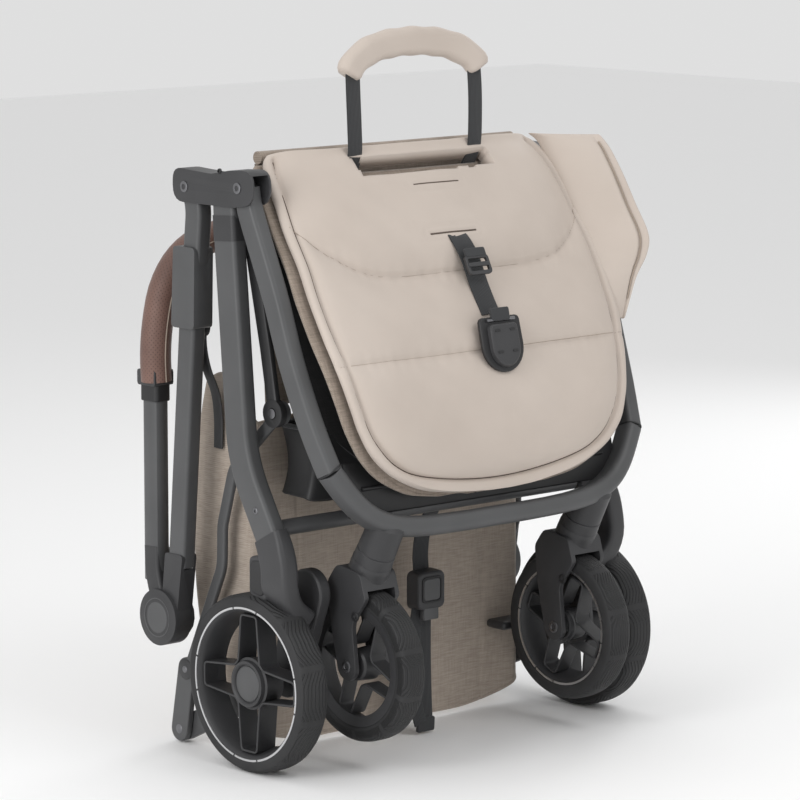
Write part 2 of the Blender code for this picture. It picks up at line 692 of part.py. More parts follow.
pad = shell("seat_pad", EDGE, BULGE, 0.0, 0.0, 12.0, "pad_leather")
slot = block("carry_slot", (182, 90, 25), (0, 12.5, 589), None, collection=CUTTERS,
             rotate=Matrix.Rotation(math.radians(-42), 4, "X"))
strap_hole = block("strap_hole", (36, 60, 9), (0, -34, 519), None, collection=CUTTERS)
pad = cut(pad, [slot, strap_hole])
board = shell("seat_base", EDGE[1:], BULGE[1:], 2.0, 13.0, 4.0, "woven_taupe", x_max=197.8)
slot = block("carry_slot", (182, 90, 25), (0, 12.5, 589), None, collection=CUTTERS,
             rotate=Matrix.Rotation(math.radians(-42), 4, "X"))
strap_hole = block("strap_hole", (36, 80, 9), (0, -34, 519), None, collection=CUTTERS)
board = cut(board, [slot, strap_hole])

for side, s in SIDES:
    # a rail each side under the seat runs from the pivot on the front leg up to the crease
    rail = tube(f"seat_rail_{side}", [(s * 210.5, *SEAT_PIVOT), (s * 210.5, 0, 420), (s * 210.5, 18, 500), (s * 210.5, 30, 553)],
                rounded_section("section_rail", 16, 7, 2.5), (1, 0, 0), "plastic_dark")
    boss = rod("boss", 14.0, s * 206.7, s * 214.4, *SEAT_PIVOT, "plastic_dark", 28)
    rail = join(rail, [boss])
    eye = rod("eye", 5.4, s * 190, s * 220, *SEAT_PIVOT, None, collection=CUTTERS)
    rail = cut(rail, [eye])
    place_origin(rail, at(s * 210.5, *SEAT_PIVOT))
    rod(f"seat_pivot_pin_{side}", 5.0, s * 206.6, s * 215.2, *SEAT_PIVOT, "rivet_steel", 24)

# wings: soft panels beside the seat
WING = [(199.8, 207.5, 4, 584), (200.5, 208, -16, 563), (203, 225, -37, 541), (206, 238, -60, 514), (209, 239, -71, 490),
        (209, 234, -71, 465), (208, 226, -68, 440), (205, 216, -64, 421)]
bm = bmesh.new()
rows = []
for x0, x1, y, z in WING:
    rows.append([bm.verts.new(at(x0 + (x1 - x0) * k / 4, y - 3.0 * math.sin(math.pi * k / 4), z)) for k in range(5)])
for ra, rb in zip(rows, rows[1:]):
    for k in range(4):
        bm.faces.new((ra[k], ra[k + 1], rb[k + 1], rb[k]))
wing = add("seat_wing_right", from_bmesh(bm), "pad_leather")
if sum(p.normal.y * p.area for p in wing.data.polygons) > 0:
    wing.data.flip_normals()
mod = wing.modifiers.new("thickness", "SOLIDIFY")
mod.thickness = 0.008
mod.offset = 1.0
mod.use_even_offset = False
freeze(wing)

# seat back: hangs down behind the seat from the crease
back = block("seat_back", (350, 9, 244), (0, 51.5, 472.5), "woven_taupe", 3.0, 2,
             rotate=Matrix.Rotation(math.radians(-3.5), 4, "X"))
hinge = rod("crease_roll", 5.5, -174, 174, *CREASE, "woven_taupe", 20)
back = join(back, [hinge])

# ---------------------------------------------------------------- carry handle
for side, s in SIDES:
    tube(f"carry_webbing_{side}", [(s * 81, 17, 668), (s * 83, 16, 640), (s * 80, 12, 600), (s * 80, 14, 589), (s * 80, 28, 575)],
         rounded_section("section_webbing", 16, 2.4, 1.0, 2), (0, 1, 0), "webbing_black")
sleeve = tube("carry_sleeve", smooth_path([(-86, 18, 681), (-66, 21, 696), (-36, 23, 704), (0, 24, 706.5), (36, 23, 704),
                                           (66, 21, 696), (86, 18, 681)], 16),
              rounded_section("section_carry", 30, 16, 7.5, 4), (0, 1, 0), "pad_leather")

# ---------------------------------------------------------------- crotch strap and buckle
tube("crotch_strap", smooth_path([(0, -32.5, 519), (0, -49.5, 516), (0, -60, 500), (0, -73, 470), (0, -87, 439)], 14),
     rounded_section("section_crotch", 25, 2.2, 0.9, 2), (0, 0.4, 1), "webbing_black")
slider = block("strap_slider", (31, 7.5, 16), (0, -64.4, 490), "plastic_dark", 1.5, 2,
               rotate=Matrix.Rotation(math.radians(-25), 4, "X"))
slot = block("slot", (25.6, 2.8, 40), (0, -64.4, 490), None, collection=CUTTERS,
             rotate=Matrix.Rotation(math.radians(-25), 4, "X"))
slider = cut(slider, [slot])

buckle = block("buckle", (42, 14, 52), (0, -98, 412), "plastic_dark", 6.0, 3,
               rotate=Matrix.Rotation(math.radians(-14), 4, "X"))
mouth = block("mouth", (27, 6, 16), (0, -91, 436), None, collection=CUTTERS,
              rotate=Matrix.Rotation(math.radians(-20), 4, "X"))
buckle = cut(buckle, [mouth])

# ---------------------------------------------------------------- canopy, basket
canopy = block("canopy", (372, 9, 336), (0, 55, 174), "woven_taupe", 4.0, 2)
# its sides, turned back along the push tubes
FLAP = [(55, 40), (80, 66), (118, 98), (142, 150), (149, 205), (146, 260), (134, 325), (116, 366), (98, 372), (55, 334)]
canopy = join(canopy, [plate(f"flap_{side}", FLAP, 6.0, s * 181.5, "woven_taupe") for side, s in SIDES])
basket = block("basket", (352, 56, 74), (0, 4, 302), "fabric_black", 4.0, 2)
mouth = block("mouth", (344, 48, 74), (0, 4, 306.5), None, collection=CUTTERS)
basket = cut(basket, [mouth])

# ---------------------------------------------------------------- folding brace: lower link and bent rod
LINK_A = (20.0, 72.0)
LINK_B = (145.0, 14.0)
for side, s in SIDES:
    link = plate(f"brace_link_{side}", capsule_outline(LINK_A, LINK_B, 10.5, 12.5, 10), 7.4, s * 194.5, "plastic_dark")
    bevel(link, 1.0, 1)
    link = freeze(link)
    place_origin(link, at(s * 194.5, *LINK_A))
    bracket = plate(f"brace_rod_{side}", capsule_outline((145, 14), (134, 77.5), 12.5, 12.5, 10), 7.2, s * 202.6, "frame_grey")
    bar = round_tube("bar", fillet([(s * 202.6, 137, 66), (s * 202.6, 76, 205), (s * 202.6, 57, 291), (s * 202.6, -12, 356)],
                                   [40, 30], steps=4), 3.5, "frame_grey", 2)
    eye = rod("eye", 11.0, s * 198.9, s * 206.3, *SEAT_PIVOT, "frame_grey", 28)
    bracket = join(bracket, [bar, eye])
    place_origin(bracket, at(s * 202.6, *LINK_B))

# ---------------------------------------------------------------- recline clamp on its webbing
clamp = block("recline_clamp", (40, 23, 41), (0, 0, 152), "plastic_dark", 3.0, 3)
face = block("face", (28, 3, 28), (0, -11.5, 153), None, collection=CUTTERS)
channel = block("channel", (23, 3.4, 60), (0, 5, 152), None, collection=CUTTERS)
tab_well = block("tab_well", (22, 14.0, 16), (0, -7, 134), None, collection=CUTTERS)
clamp = cut(clamp, [face, channel, tab_well])
tab = block("clamp_tab", (20.8, 7.2, 18), (0, -5.4, 130.5), "plastic_dark", 1.2, 2)
place_origin(tab, at(0, -5.4, 138))
tube("recline_webbing", smooth_path([(0, -2.5, 232), (0, 4.6, 205), (0, 5, 172), (0, 5, 120), (0, 6, 60), (0, 7, 4)], 20),
     rounded_section("section_recline", 20, 2.2, 0.9, 2), (0, 1, 0), "webbing_black")

# ---------------------------------------------------------------- brake
pedal = block("brake_pedal", (46, 28, 9), (150.5, 32, 92), "plastic_dark", 3.0, 2)
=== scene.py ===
import math

import bmesh
import bpy
import numpy as np
from mathutils import Matrix, Vector


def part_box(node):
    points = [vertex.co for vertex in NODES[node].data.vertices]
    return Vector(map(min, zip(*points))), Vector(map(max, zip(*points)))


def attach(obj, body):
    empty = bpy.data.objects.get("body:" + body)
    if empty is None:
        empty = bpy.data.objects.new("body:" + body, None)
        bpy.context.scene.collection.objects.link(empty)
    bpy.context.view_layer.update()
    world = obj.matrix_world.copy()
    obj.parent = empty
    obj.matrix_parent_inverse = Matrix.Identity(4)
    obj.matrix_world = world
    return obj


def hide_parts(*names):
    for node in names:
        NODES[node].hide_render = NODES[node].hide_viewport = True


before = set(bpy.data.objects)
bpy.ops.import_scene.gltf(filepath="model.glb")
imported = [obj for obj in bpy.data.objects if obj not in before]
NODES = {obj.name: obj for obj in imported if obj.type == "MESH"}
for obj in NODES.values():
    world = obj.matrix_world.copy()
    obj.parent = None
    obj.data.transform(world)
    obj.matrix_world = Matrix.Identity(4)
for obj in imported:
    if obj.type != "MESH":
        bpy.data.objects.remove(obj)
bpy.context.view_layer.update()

AXLE_Y = -13.7
SIDES = (("left", -1), ("right", 1))
scene = bpy.context.scene


def at(x, y, z):
    return Vector((x / 1000.0, (y + AXLE_Y) / 1000.0, z / 1000.0))


# ------------------------------------------------------------------ materials
def new_mat(name, slot_rgb, rough, metallic=0.0, sheen=0.0, specular=0.5):
    m = bpy.data.materials.new(name)
    m.use_nodes = True
    nt = m.node_tree
    b = nt.nodes["Principled BSDF"]
    b.inputs["Base Color"].default_value = (*slot_rgb, 1)
    b.inputs["Roughness"].default_value = rough
    b.inputs["Metallic"].default_value = metallic
    b.inputs["Specular IOR Level"].default_value = specular
    if sheen:
        b.inputs["Sheen Weight"].default_value = sheen
        b.inputs["Sheen Roughness"].default_value = 0.5
    return m, nt, b


def node(nt, kind, **vals):
    n = nt.nodes.new(kind)
    for k, v in vals.items():
        if k in n.inputs:
            n.inputs[k].default_value = v
        else:
            setattr(n, k, v)
    return n


def math_node(nt, op, a, b=None, c=None):
    n = nt.nodes.new("ShaderNodeMath")
    n.operation = op
    for i, v in enumerate((a, b, c)):
        if v is None:
            continue
        if isinstance(v, (int, float)):
            n.inputs[i].default_value = v
        else:
            nt.links.new(v, n.inputs[i])
    return n.outputs[0]


def coords(nt, scale=(1, 1, 1), kind="Object"):
    tc = nt.nodes.new("ShaderNodeTexCoord")
    mp = nt.nodes.new("ShaderNodeMapping")
    mp.inputs["Scale"].default_value = scale
    nt.links.new(tc.outputs[kind], mp.inputs["Vector"])
    return mp.outputs[0]


def noise_tex(nt, vec, scale, detail=4.0, rough=0.5):
    n = nt.nodes.new("ShaderNodeTexNoise")
    n.inputs["Scale"].default_value = scale
    n.inputs["Detail"].default_value = detail
    n.inputs["Roughness"].default_value = rough
    nt.links.new(vec, n.inputs["Vector"])
    return n.outputs["Fac"]


def ramp(nt, fac, stops):
    r = nt.nodes.new("ShaderNodeValToRGB")
    while len(r.color_ramp.elements) < len(stops):
        r.color_ramp.elements.new(0.5)
    for e, (p, c) in zip(r.color_ramp.elements, stops):
        e.position = p
        e.color = (*c, 1) if len(c) == 3 else c
    nt.links.new(fac, r.inputs["Fac"])
    return r.outputs["Color"]


def bump(nt, b, height, strength, distance, prev=None):
    n = nt.nodes.new("ShaderNodeBump")
    n.inputs["Strength"].default_value = strength
    n.inputs["Distance"].default_value = distance
    nt.links.new(height, n.inputs["Height"])
    if prev is not None:
        nt.links.new(prev, n.inputs["Normal"])
    nt.links.new(n.outputs[0], b.inputs["Normal"])
    return n.outputs[0]


def grained(name, rgb, rough, metallic=0.0, grain=900.0, depth=0.00006, spread=0.12, wear=0.0):
    """Moulded plastic or powder coat: fine grain, slight tone and roughness changes."""
    m, nt, b = new_mat(name, rgb, rough, metallic)
    vec = coords(nt)
    big = noise_tex(nt, vec, 18.0, 3)
    lo = tuple(c * (1 - spread) for c in rgb)
    hi = tuple(min(1, c * (1 + spread)) for c in rgb)
    col = ramp(nt, big, [(0.3, lo), (0.7, hi)])
    nt.links.new(col, b.inputs["Base Color"])
    rg = math_node(nt, "MULTIPLY_ADD", noise_tex(nt, vec, 60.0, 4), 0.14, rough - 0.07)
    nt.links.new(rg, b.inputs["Roughness"])
    fine = noise_tex(nt, vec, grain, 2)
    bump(nt, b, fine, 0.5, depth)
    return m


M_FRAME = grained("frame_coat", (0.070, 0.071, 0.073), 0.46, 0.0, 1600.0, 0.00005, 0.08)
M_PLASTIC = grained("dark_plastic", (0.034, 0.034, 0.036), 0.48, 0.0, 1100.0, 0.00007, 0.12)
M_BLACK = grained("black_plastic", (0.014, 0.014, 0.015), 0.5, 0.0, 1100.0, 0.00006, 0.12)
M_STEEL = grained("rivet_metal", (0.20, 0.20, 0.21), 0.36, 1.0, 700.0, 0.00002, 0.1)
M_RING = grained("ring_metal", (0.62, 0.62, 0.63), 0.30, 1.0, 500.0, 0.00001, 0.05)


def leather_mat():
    m, nt, b = new_mat("pad_leather", (0.60, 0.505, 0.43), 0.62, 0.0, 0.12, 0.35)
    vec = coords(nt)
    tone = noise_tex(nt, vec, 9.0, 4)
    col = ramp(nt, tone, [(0.3, (0.495, 0.428, 0.375)), (0.7, (0.550, 0.480, 0.424))])
    nt.links.new(col, b.inputs["Base Color"])
    vo = nt.nodes.new("ShaderNodeTexVoronoi")
    vo.feature = "DISTANCE_TO_EDGE"
    vo.inputs["Scale"].default_value = 900.0
    nt.links.new(vec, vo.inputs["Vector"])
    p = bump(nt, b, vo.outputs["Distance"], 0.10, 0.0003)
    p = bump(nt, b, noise_tex(nt, vec, 45.0, 4), 0.12, 0.0012, p)
    wr = noise_tex(nt, coords(nt, (1, 1, 0.35)), 16.0, 2)
    bump(nt, b, wr, 0.16, 0.004, p)
    rg = math_node(nt, "MULTIPLY_ADD", noise_tex(nt, vec, 30.0, 3), 0.14, 0.54)
    nt.links.new(rg, b.inputs["Roughness"])
    return m


def woven_mat(name, dark, light, thread=1500.0, axis=(0, 2)):
    """Melange weave: warp and weft threads crossing, with slubs of lighter and darker yarn."""
    m, nt, b = new_mat(name, light, 0.9, 0.0, 0.25, 0.2)
    tc = nt.nodes.new("ShaderNodeTexCoord")
    sep = nt.nodes.new("ShaderNodeSeparateXYZ")
    nt.links.new(tc.outputs["Object"], sep.inputs[0])
    a = math_node(nt, "SINE", math_node(nt, "MULTIPLY", sep.outputs[axis[0]], thread * 2.2))
    c = math_node(nt, "SINE", math_node(nt, "MULTIPLY", sep.outputs[axis[1]], thread * 2.2))
    weave = math_node(nt, "MULTIPLY", a, c)
    streak_h = noise_tex(nt, coords(nt, (60, 60, 900)), 1.0, 3)
    streak_v = noise_tex(nt, coords(nt, (900, 60, 60)), 1.0, 3)
    mixf = math_node(nt, "MULTIPLY_ADD", weave, 0.10,
                     math_node(nt, "ADD", math_node(nt, "MULTIPLY", streak_h, 0.62), math_node(nt, "MULTIPLY", streak_v, 0.38)))
    col = ramp(nt, mixf, [(0.30, dark), (0.70, light)])
    nt.links.new(col, b.inputs["Base Color"])
    p = bump(nt, b, weave, 0.5, 0.00012)
    bump(nt, b, noise_tex(nt, coords(nt), 14.0, 3), 0.35, 0.004, p)
    return m


def webbing_mat(name, rgb):
    m, nt, b = new_mat(name, rgb, 0.8, 0.0, 0.2, 0.3)
    tc = nt.nodes.new("ShaderNodeTexCoord")
    sep = nt.nodes.new("ShaderNodeSeparateXYZ")
    nt.links.new(tc.outputs["UV"], sep.inputs[0])
    a = math_node(nt, "SINE", math_node(nt, "MULTIPLY", sep.outputs[0], 3600.0))
    d = math_node(nt, "SINE", math_node(nt, "MULTIPLY", math_node(nt, "ADD", sep.outputs[0], sep.outputs[1]), 2600.0))
    w = math_node(nt, "ADD", a, math_node(nt, "MULTIPLY", d, 0.5))
    lo = tuple(c * 0.7 for c in rgb)
    hi = tuple(c * 1.5 for c in rgb)
    nt.links.new(ramp(nt, math_node(nt, "MULTIPLY_ADD", w, 0.3, 0.5), [(0.2, lo), (0.8, hi)]), b.inputs["Base Color"])
    bump(nt, b, w, 0.6, 0.0002)
    return m


def grip_mat():
    """Brown leather with staggered rows of small punched holes."""
    m, nt, b = new_mat("grip_leather", (0.118, 0.066, 0.052), 0.55, 0.0, 0.1, 0.4)
    tc = nt.nodes.new("ShaderNodeTexCoord")
    sep = nt.nodes.new("ShaderNodeSeparateXYZ")
    nt.links.new(tc.outputs["UV"], sep.inputs[0])
    pitch = 0.0045
    v = math_node(nt, "DIVIDE", sep.outputs[1], pitch * 0.5)
    row = math_node(nt, "FLOOR", v)
    shift = math_node(nt, "MULTIPLY", math_node(nt, "MODULO", row, 2.0), 0.5)
    u = math_node(nt, "ADD", math_node(nt, "DIVIDE", sep.outputs[0], pitch), shift)
    fu = math_node(nt, "SUBTRACT", math_node(nt, "FRACT", u), 0.5)
    fv = math_node(nt, "MULTIPLY", math_node(nt, "SUBTRACT", math_node(nt, "FRACT", v), 0.5), 0.5)
    r = math_node(nt, "SQRT", math_node(nt, "ADD", math_node(nt, "MULTIPLY", fu, fu), math_node(nt, "MULTIPLY", fv, fv)))
    hole = math_node(nt, "SMOOTH_MIN", math_node(nt, "MULTIPLY", r, 6.0), 1.0, 0.2)
    vec = coords(nt)
    tone = ramp(nt, noise_tex(nt, vec, 25.0, 4), [(0.3, (0.128, 0.070, 0.055)), (0.7, (0.175, 0.098, 0.077))])
    mix = nt.nodes.new("ShaderNodeMix")
    mix.data_type = "RGBA"
    nt.links.new(hole, mix.inputs[0])
    mix.inputs[6].default_value = (0.03, 0.015, 0.012, 1)
    nt.links.new(tone, mix.inputs[7])
    nt.links.new(mix.outputs[2], b.inputs["Base Color"])
    p = bump(nt, b, hole, 0.6, 0.0005)
    vo = nt.nodes.new("ShaderNodeTexVoronoi")
    vo.feature = "DISTANCE_TO_EDGE"
    vo.inputs["Scale"].default_value = 900.0
    nt.links.new(vec, vo.inputs["Vector"])
    bump(nt, b, vo.outputs["Distance"], 0.2, 0.0003, p)
    return m


def tyre_mat():
    """Rubber with a moulded tread of curved lines; U runs across the tread in metres, V is the turn."""
    m, nt, b = new_mat("tyre_rubber", (0.022, 0.022, 0.023), 0.68, 0.0, 0.0, 0.4)
    tc = nt.nodes.new("ShaderNodeTexCoord")
    sep = nt.nodes.new("ShaderNodeSeparateXYZ")
    nt.links.new(tc.outputs["UV"], sep.inputs[0])
    u, v = sep.outputs[0], sep.outputs[1]
    # ten repeats round the wheel; in each, a bundle of lines runs round and then turns aside
    k = math_node(nt, "FRACT", math_node(nt, "MULTIPLY", v, 10.0))
    turn = math_node(nt, "SMOOTH_MIN", math_node(nt, "ABSOLUTE", math_node(nt, "SUBTRACT", k, 0.5)), 0.30, 0.12)
    line = math_node(nt, "MULTIPLY_ADD", turn, 0.030, u)
    s = math_node(nt, "SINE", math_node(nt, "MULTIPLY", line, 2 * math.pi / 0.0042))
    groove = math_node(nt, "SMOOTH_MAX", s, -0.2, 0.4)
    break_ = math_node(nt, "GREATER_THAN", math_node(nt, "ABSOLUTE", math_node(nt, "SUBTRACT", k, 0.5)), 0.06)
    band = math_node(nt, "MULTIPLY", math_node(nt, "GREATER_THAN", u, 0.0), break_)
    h = math_node(nt, "MULTIPLY", groove, band)
    p = bump(nt, b, h, 1.0, 0.0011)
    bump(nt, b, noise_tex(nt, coords(nt), 700.0, 2), 0.3, 0.00008, p)
    tone = ramp(nt, noise_tex(nt, coords(nt), 20.0, 4), [(0.3, (0.018, 0.018, 0.019)), (0.7, (0.030, 0.030, 0.031))])
    nt.links.new(tone, b.inputs["Base Color"])
    return m


M_LEATHER = leather_mat()
M_WOVEN = woven_mat("woven_taupe", (0.205, 0.165, 0.132), (0.36, 0.30, 0.25))
M_CANOPY = woven_mat("canopy_cloth", (0.32, 0.265, 0.22), (0.50, 0.43, 0.365))
M_LINING = woven_mat("black_lining", (0.008, 0.008, 0.009), (0.020, 0.020, 0.021))
M_WEBBING = webbing_mat("webbing", (0.030, 0.031, 0.033))
M_GRIP = grip_mat()
M_TYRE = tyre_mat()
M_THREAD = grained("thread", (0.33, 0.27, 0.22), 0.8, 0, 900, 0.0001)
# painted shadow: a dark brown for thin tubes laid in the pad's piping groove and slits, standing in for the shade that
# falls there
M_SEAM_SHADOW = grained("seam_shadow", (0.10, 0.075, 0.06), 0.9, 0, 900, 0.0001)


# ------------------------------------------------------------------ mesh helpers
def add(name, mesh, mat, body, nodes=(), sharp=35.0):
    obj = bpy.data.objects.new(name, mesh)
    scene.collection.objects.link(obj)
    mesh.materials.clear()
    mesh.materials.append(mat)
    mesh.shade_smooth()
    if sharp:
        mesh.set_sharp_from_angle(angle=math.radians(sharp))
    if body:
        finish_piece(obj, body, nodes)
    return obj


def finish_piece(obj, body, nodes=()):
    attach(obj, body)
    if nodes:
        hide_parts(*nodes)
    return obj


def from_bm(bm, recalc=True):
    if recalc:
        bmesh.ops.recalc_face_normals(bm, faces=bm.faces)
    mesh = bpy.data.meshes.new("m")
    bm.to_mesh(mesh)
    bm.free()
    return mesh


def rr(width, depth, radius, corner=6):
    pts = []
    for cx, cy, start in ((1, 1, 0), (-1, 1, 90), (-1, -1, 180), (1, -1, 270)):
        for k in range(corner + 1):
            a = math.radians(start + 90.0 * k / corner)
            pts.append((cx * (width / 2 - radius) + radius * math.cos(a), cy * (depth / 2 - radius) + radius * math.sin(a)))
    return pts


def ring_section(r, n=32):
    return [(r * math.cos(2 * math.pi * k / n), r * math.sin(2 * math.pi * k / n)) for k in range(n)]


def spline(points, step):
    pts = [Vector(p) for p in points]
    pts = [pts[0] * 2 - pts[1]] + pts + [pts[-1] * 2 - pts[-2]]
    out = []
    for i in range(1, len(pts) - 2):
        p0, p1, p2, p3 = pts[i - 1:i + 3]
        n = max(1, round((p2 - p1).length / step))
        for k in range(n):
            t = k / n
            out.append(0.5 * ((2 * p1) + (p2 - p0) * t + (2 * p0 - 5 * p1 + 4 * p2 - p3) * t * t
                              + (3 * p1 - p0 - 3 * p2 + p3) * t ** 3))
    out.append(pts[-2])
    return out


def fillet(points, radii, steps=10):
    pts = [Vector(p) for p in points]
    out = [pts[0]]
    for i in range(1, len(pts) - 1):
        r = radii[i - 1]
        a = (pts[i - 1] - pts[i]).normalized()
        b = (pts[i + 1] - pts[i]).normalized()
        half = a.angle(b) / 2
        if r <= 0 or half > math.radians(89.5):
            out.append(pts[i])
            continue
        reach = min(r / math.tan(half), 0.48 * (pts[i - 1] - pts[i]).length, 0.48 * (pts[i + 1] - pts[i]).length)
        s, e = pts[i] + a * reach, pts[i] + b * reach
        for k in range(steps + 1):
            t = k / steps
            out.append(s * (1 - t) ** 2 + pts[i] * 2 * t * (1 - t) + e * t * t)
    out.append(pts[-1])
    return out


def sweep(points, section, side, scales=None, round_end=0.0, normals=None):
    """A closed tube along points (mm from the axle line). section is (a, b) mm, a along side and b along
    tangent x side. Has a UV layer in metres: round the section and along the path."""
    pts = [Vector(p) for p in points]
    n = len(pts)
    bm = bmesh.new()
    uv = bm.loops.layers.uv.new("UVMap")
    rings, lens = [], [0.0]
    for i in range(1, n):
        lens.append(lens[-1] + (pts[i] - pts[i - 1]).length)
    per = [0.0]
    for i in range(len(section)):
        a, b = section[i], section[(i + 1) % len(section)]
        per.append(per[-1] + math.hypot(a[0] - b[0], a[1] - b[1]))
    for i, p in enumerate(pts):
        t = (pts[min(i + 1, n - 1)] - pts[max(i - 1, 0)]).normalized()
        sv = Vector(normals[i]) if normals else Vector(side)
        sv = (sv - t * sv.dot(t)).normalized()
        bv = t.cross(sv)
        sc = scales[i] if scales else 1.0
        sx, sy = sc if isinstance(sc, (tuple, list)) else (sc, sc)
        rings.append([bm.verts.new(at(*(p + sv * (a * sx) + bv * (b * sy)))) for a, b in section])
    m = len(section)
    for i in range(n - 1):
        for k in range(m):
            f = bm.faces.new((rings[i][k], rings[i][(k + 1) % m], rings[i + 1][(k + 1) % m], rings[i + 1][k]))
            f.smooth = True
            for loop, (uu, vv) in zip(f.loops, ((per[k], lens[i]), (per[k + 1], lens[i]), (per[k + 1], lens[i + 1]), (per[k], lens[i + 1]))):
                loop[uv].uv = (uu / 1000, vv / 1000)
    bm.faces.new(list(reversed(rings[0])))
    bm.faces.new(rings[-1])
    return from_bm(bm)


def bevelled(obj, width, segments=2, angle=35.0, subsurf=0):
    mod = obj.modifiers.new("edge", "BEVEL")
    mod.width = width / 1000.0
    mod.segments = segments
    mod.limit_method = "ANGLE"
    mod.angle_limit = math.radians(angle)
    mod.harden_normals = False
    return mod


def prism(outline, x0, x1):
    """A solid with an outline in (y, z) mm, from x0 to x1."""
    bm = bmesh.new()
    a = [bm.verts.new(at(x0, y, z)) for y, z in outline]
    b = [bm.verts.new(at(x1, y, z)) for y, z in outline]
    bm.faces.new(a)
    bm.faces.new(list(reversed(b)))
    n = len(a)
    for i in range(n):
        bm.faces.new((a[i], b[i], b[(i + 1) % n], a[(i + 1) % n]))
    return from_bm(bm)


def rounded(points, radius, steps=6):
    pts = [Vector((*p, 0)) for p in points]
    n = len(pts)
    out = []
    for i in range(n):
        r = radius[i] if isinstance(radius, (list, tuple)) else radius
        a = (pts[i - 1] - pts[i]).normalized()
        b = (pts[(i + 1) % n] - pts[i]).normalized()
        half = a.angle(b) / 2
        if r <= 0 or half > math.radians(88):
            out.append((pts[i].x, pts[i].y))
            continue
        reach = min(r / math.tan(half), 0.48 * (pts[i - 1] - pts[i]).length, 0.48 * (pts[(i + 1) % n] - pts[i]).length)
        s, e = pts[i] + a * reach, pts[i] + b * reach
        for k in range(steps + 1):
            t = k / steps
            p = s * (1 - t) ** 2 + pts[i] * 2 * t * (1 - t) + e * t * t
            out.append((p.x, p.y))
    return out


def capsule(a, b, ra, rb, steps=14):
    base = math.atan2(b[1] - a[1], b[0] - a[0])
    out = []
    for k in range(steps + 1):
        t = base + math.pi / 2 + math.pi * k / steps
        out.append((a[0] + ra * math.cos(t), a[1] + ra * math.sin(t)))
    for k in range(steps + 1):
        t = base - math.pi / 2 + math.pi * k / steps
        out.append((b[0] + rb * math.cos(t), b[1] + rb * math.sin(t)))
    return out


def revolve(profile, centre, steps=96, closed=True, uvs=None):
    """A solid turned about X. profile is (x offset, radius) mm; uvs gives U per profile point."""
    bm = bmesh.new()
    uv = bm.loops.layers.uv.new("UVMap")
    rings = []
    for k in range(steps):
        a = 2 * math.pi * k / steps
        rings.append([bm.verts.new(at(centre[0] + x, centre[1] + r * math.cos(a), centre[2] + r * math.sin(a))) for x, r in profile])
    m = len(profile)
    span = m if closed else m - 1
    for k in range(steps):
        r0, r1 = rings[k], rings[(k + 1) % steps]
        for i in range(span):
            j = (i + 1) % m
            if profile[i][1] < 1e-6 and profile[j][1] < 1e-6:
                continue
            f = bm.faces.new((r0[i], r0[j], r1[j], r1[i]))
            ui, uj = (uvs[i], uvs[j]) if uvs else (i * 0.001, j * 0.001)
            for loop, (uu, vv) in zip(f.loops, ((ui, k / steps), (uj, k / steps), (uj, (k + 1) / steps), (ui, (k + 1) / steps))):
                loop[uv].uv = (uu, vv)
    bmesh.ops.remove_doubles(bm, verts=bm.verts, dist=1e-6)
    return from_bm(bm)


def merge(objs, name):
    """Joins the objects' meshes into one new mesh."""
    bm = bmesh.new()
    for o in objs:
        bm.from_mesh(o.data)
    mesh = bpy.data.meshes.new(name)
    bm.to_mesh(mesh)
    bm.free()
    return mesh


# ------------------------------------------------------------------ frame tubes
FRAME_SEC = [(b, a) for a, b in rr(24.0, 18.0, 4.6)]      # a along X, b in the YZ plane
REAR_SEC = [(b, a) for a, b in rr(32.0, 18.0, 5.0)]


def place(obj_name, mesh, mat, body, nodes=(), bev=0.0, sharp=35.0):
    o = add(obj_name, mesh, mat, None, sharp=sharp)
    if bev:
        bevelled(o, bev)
    return finish_piece(o, body, nodes)


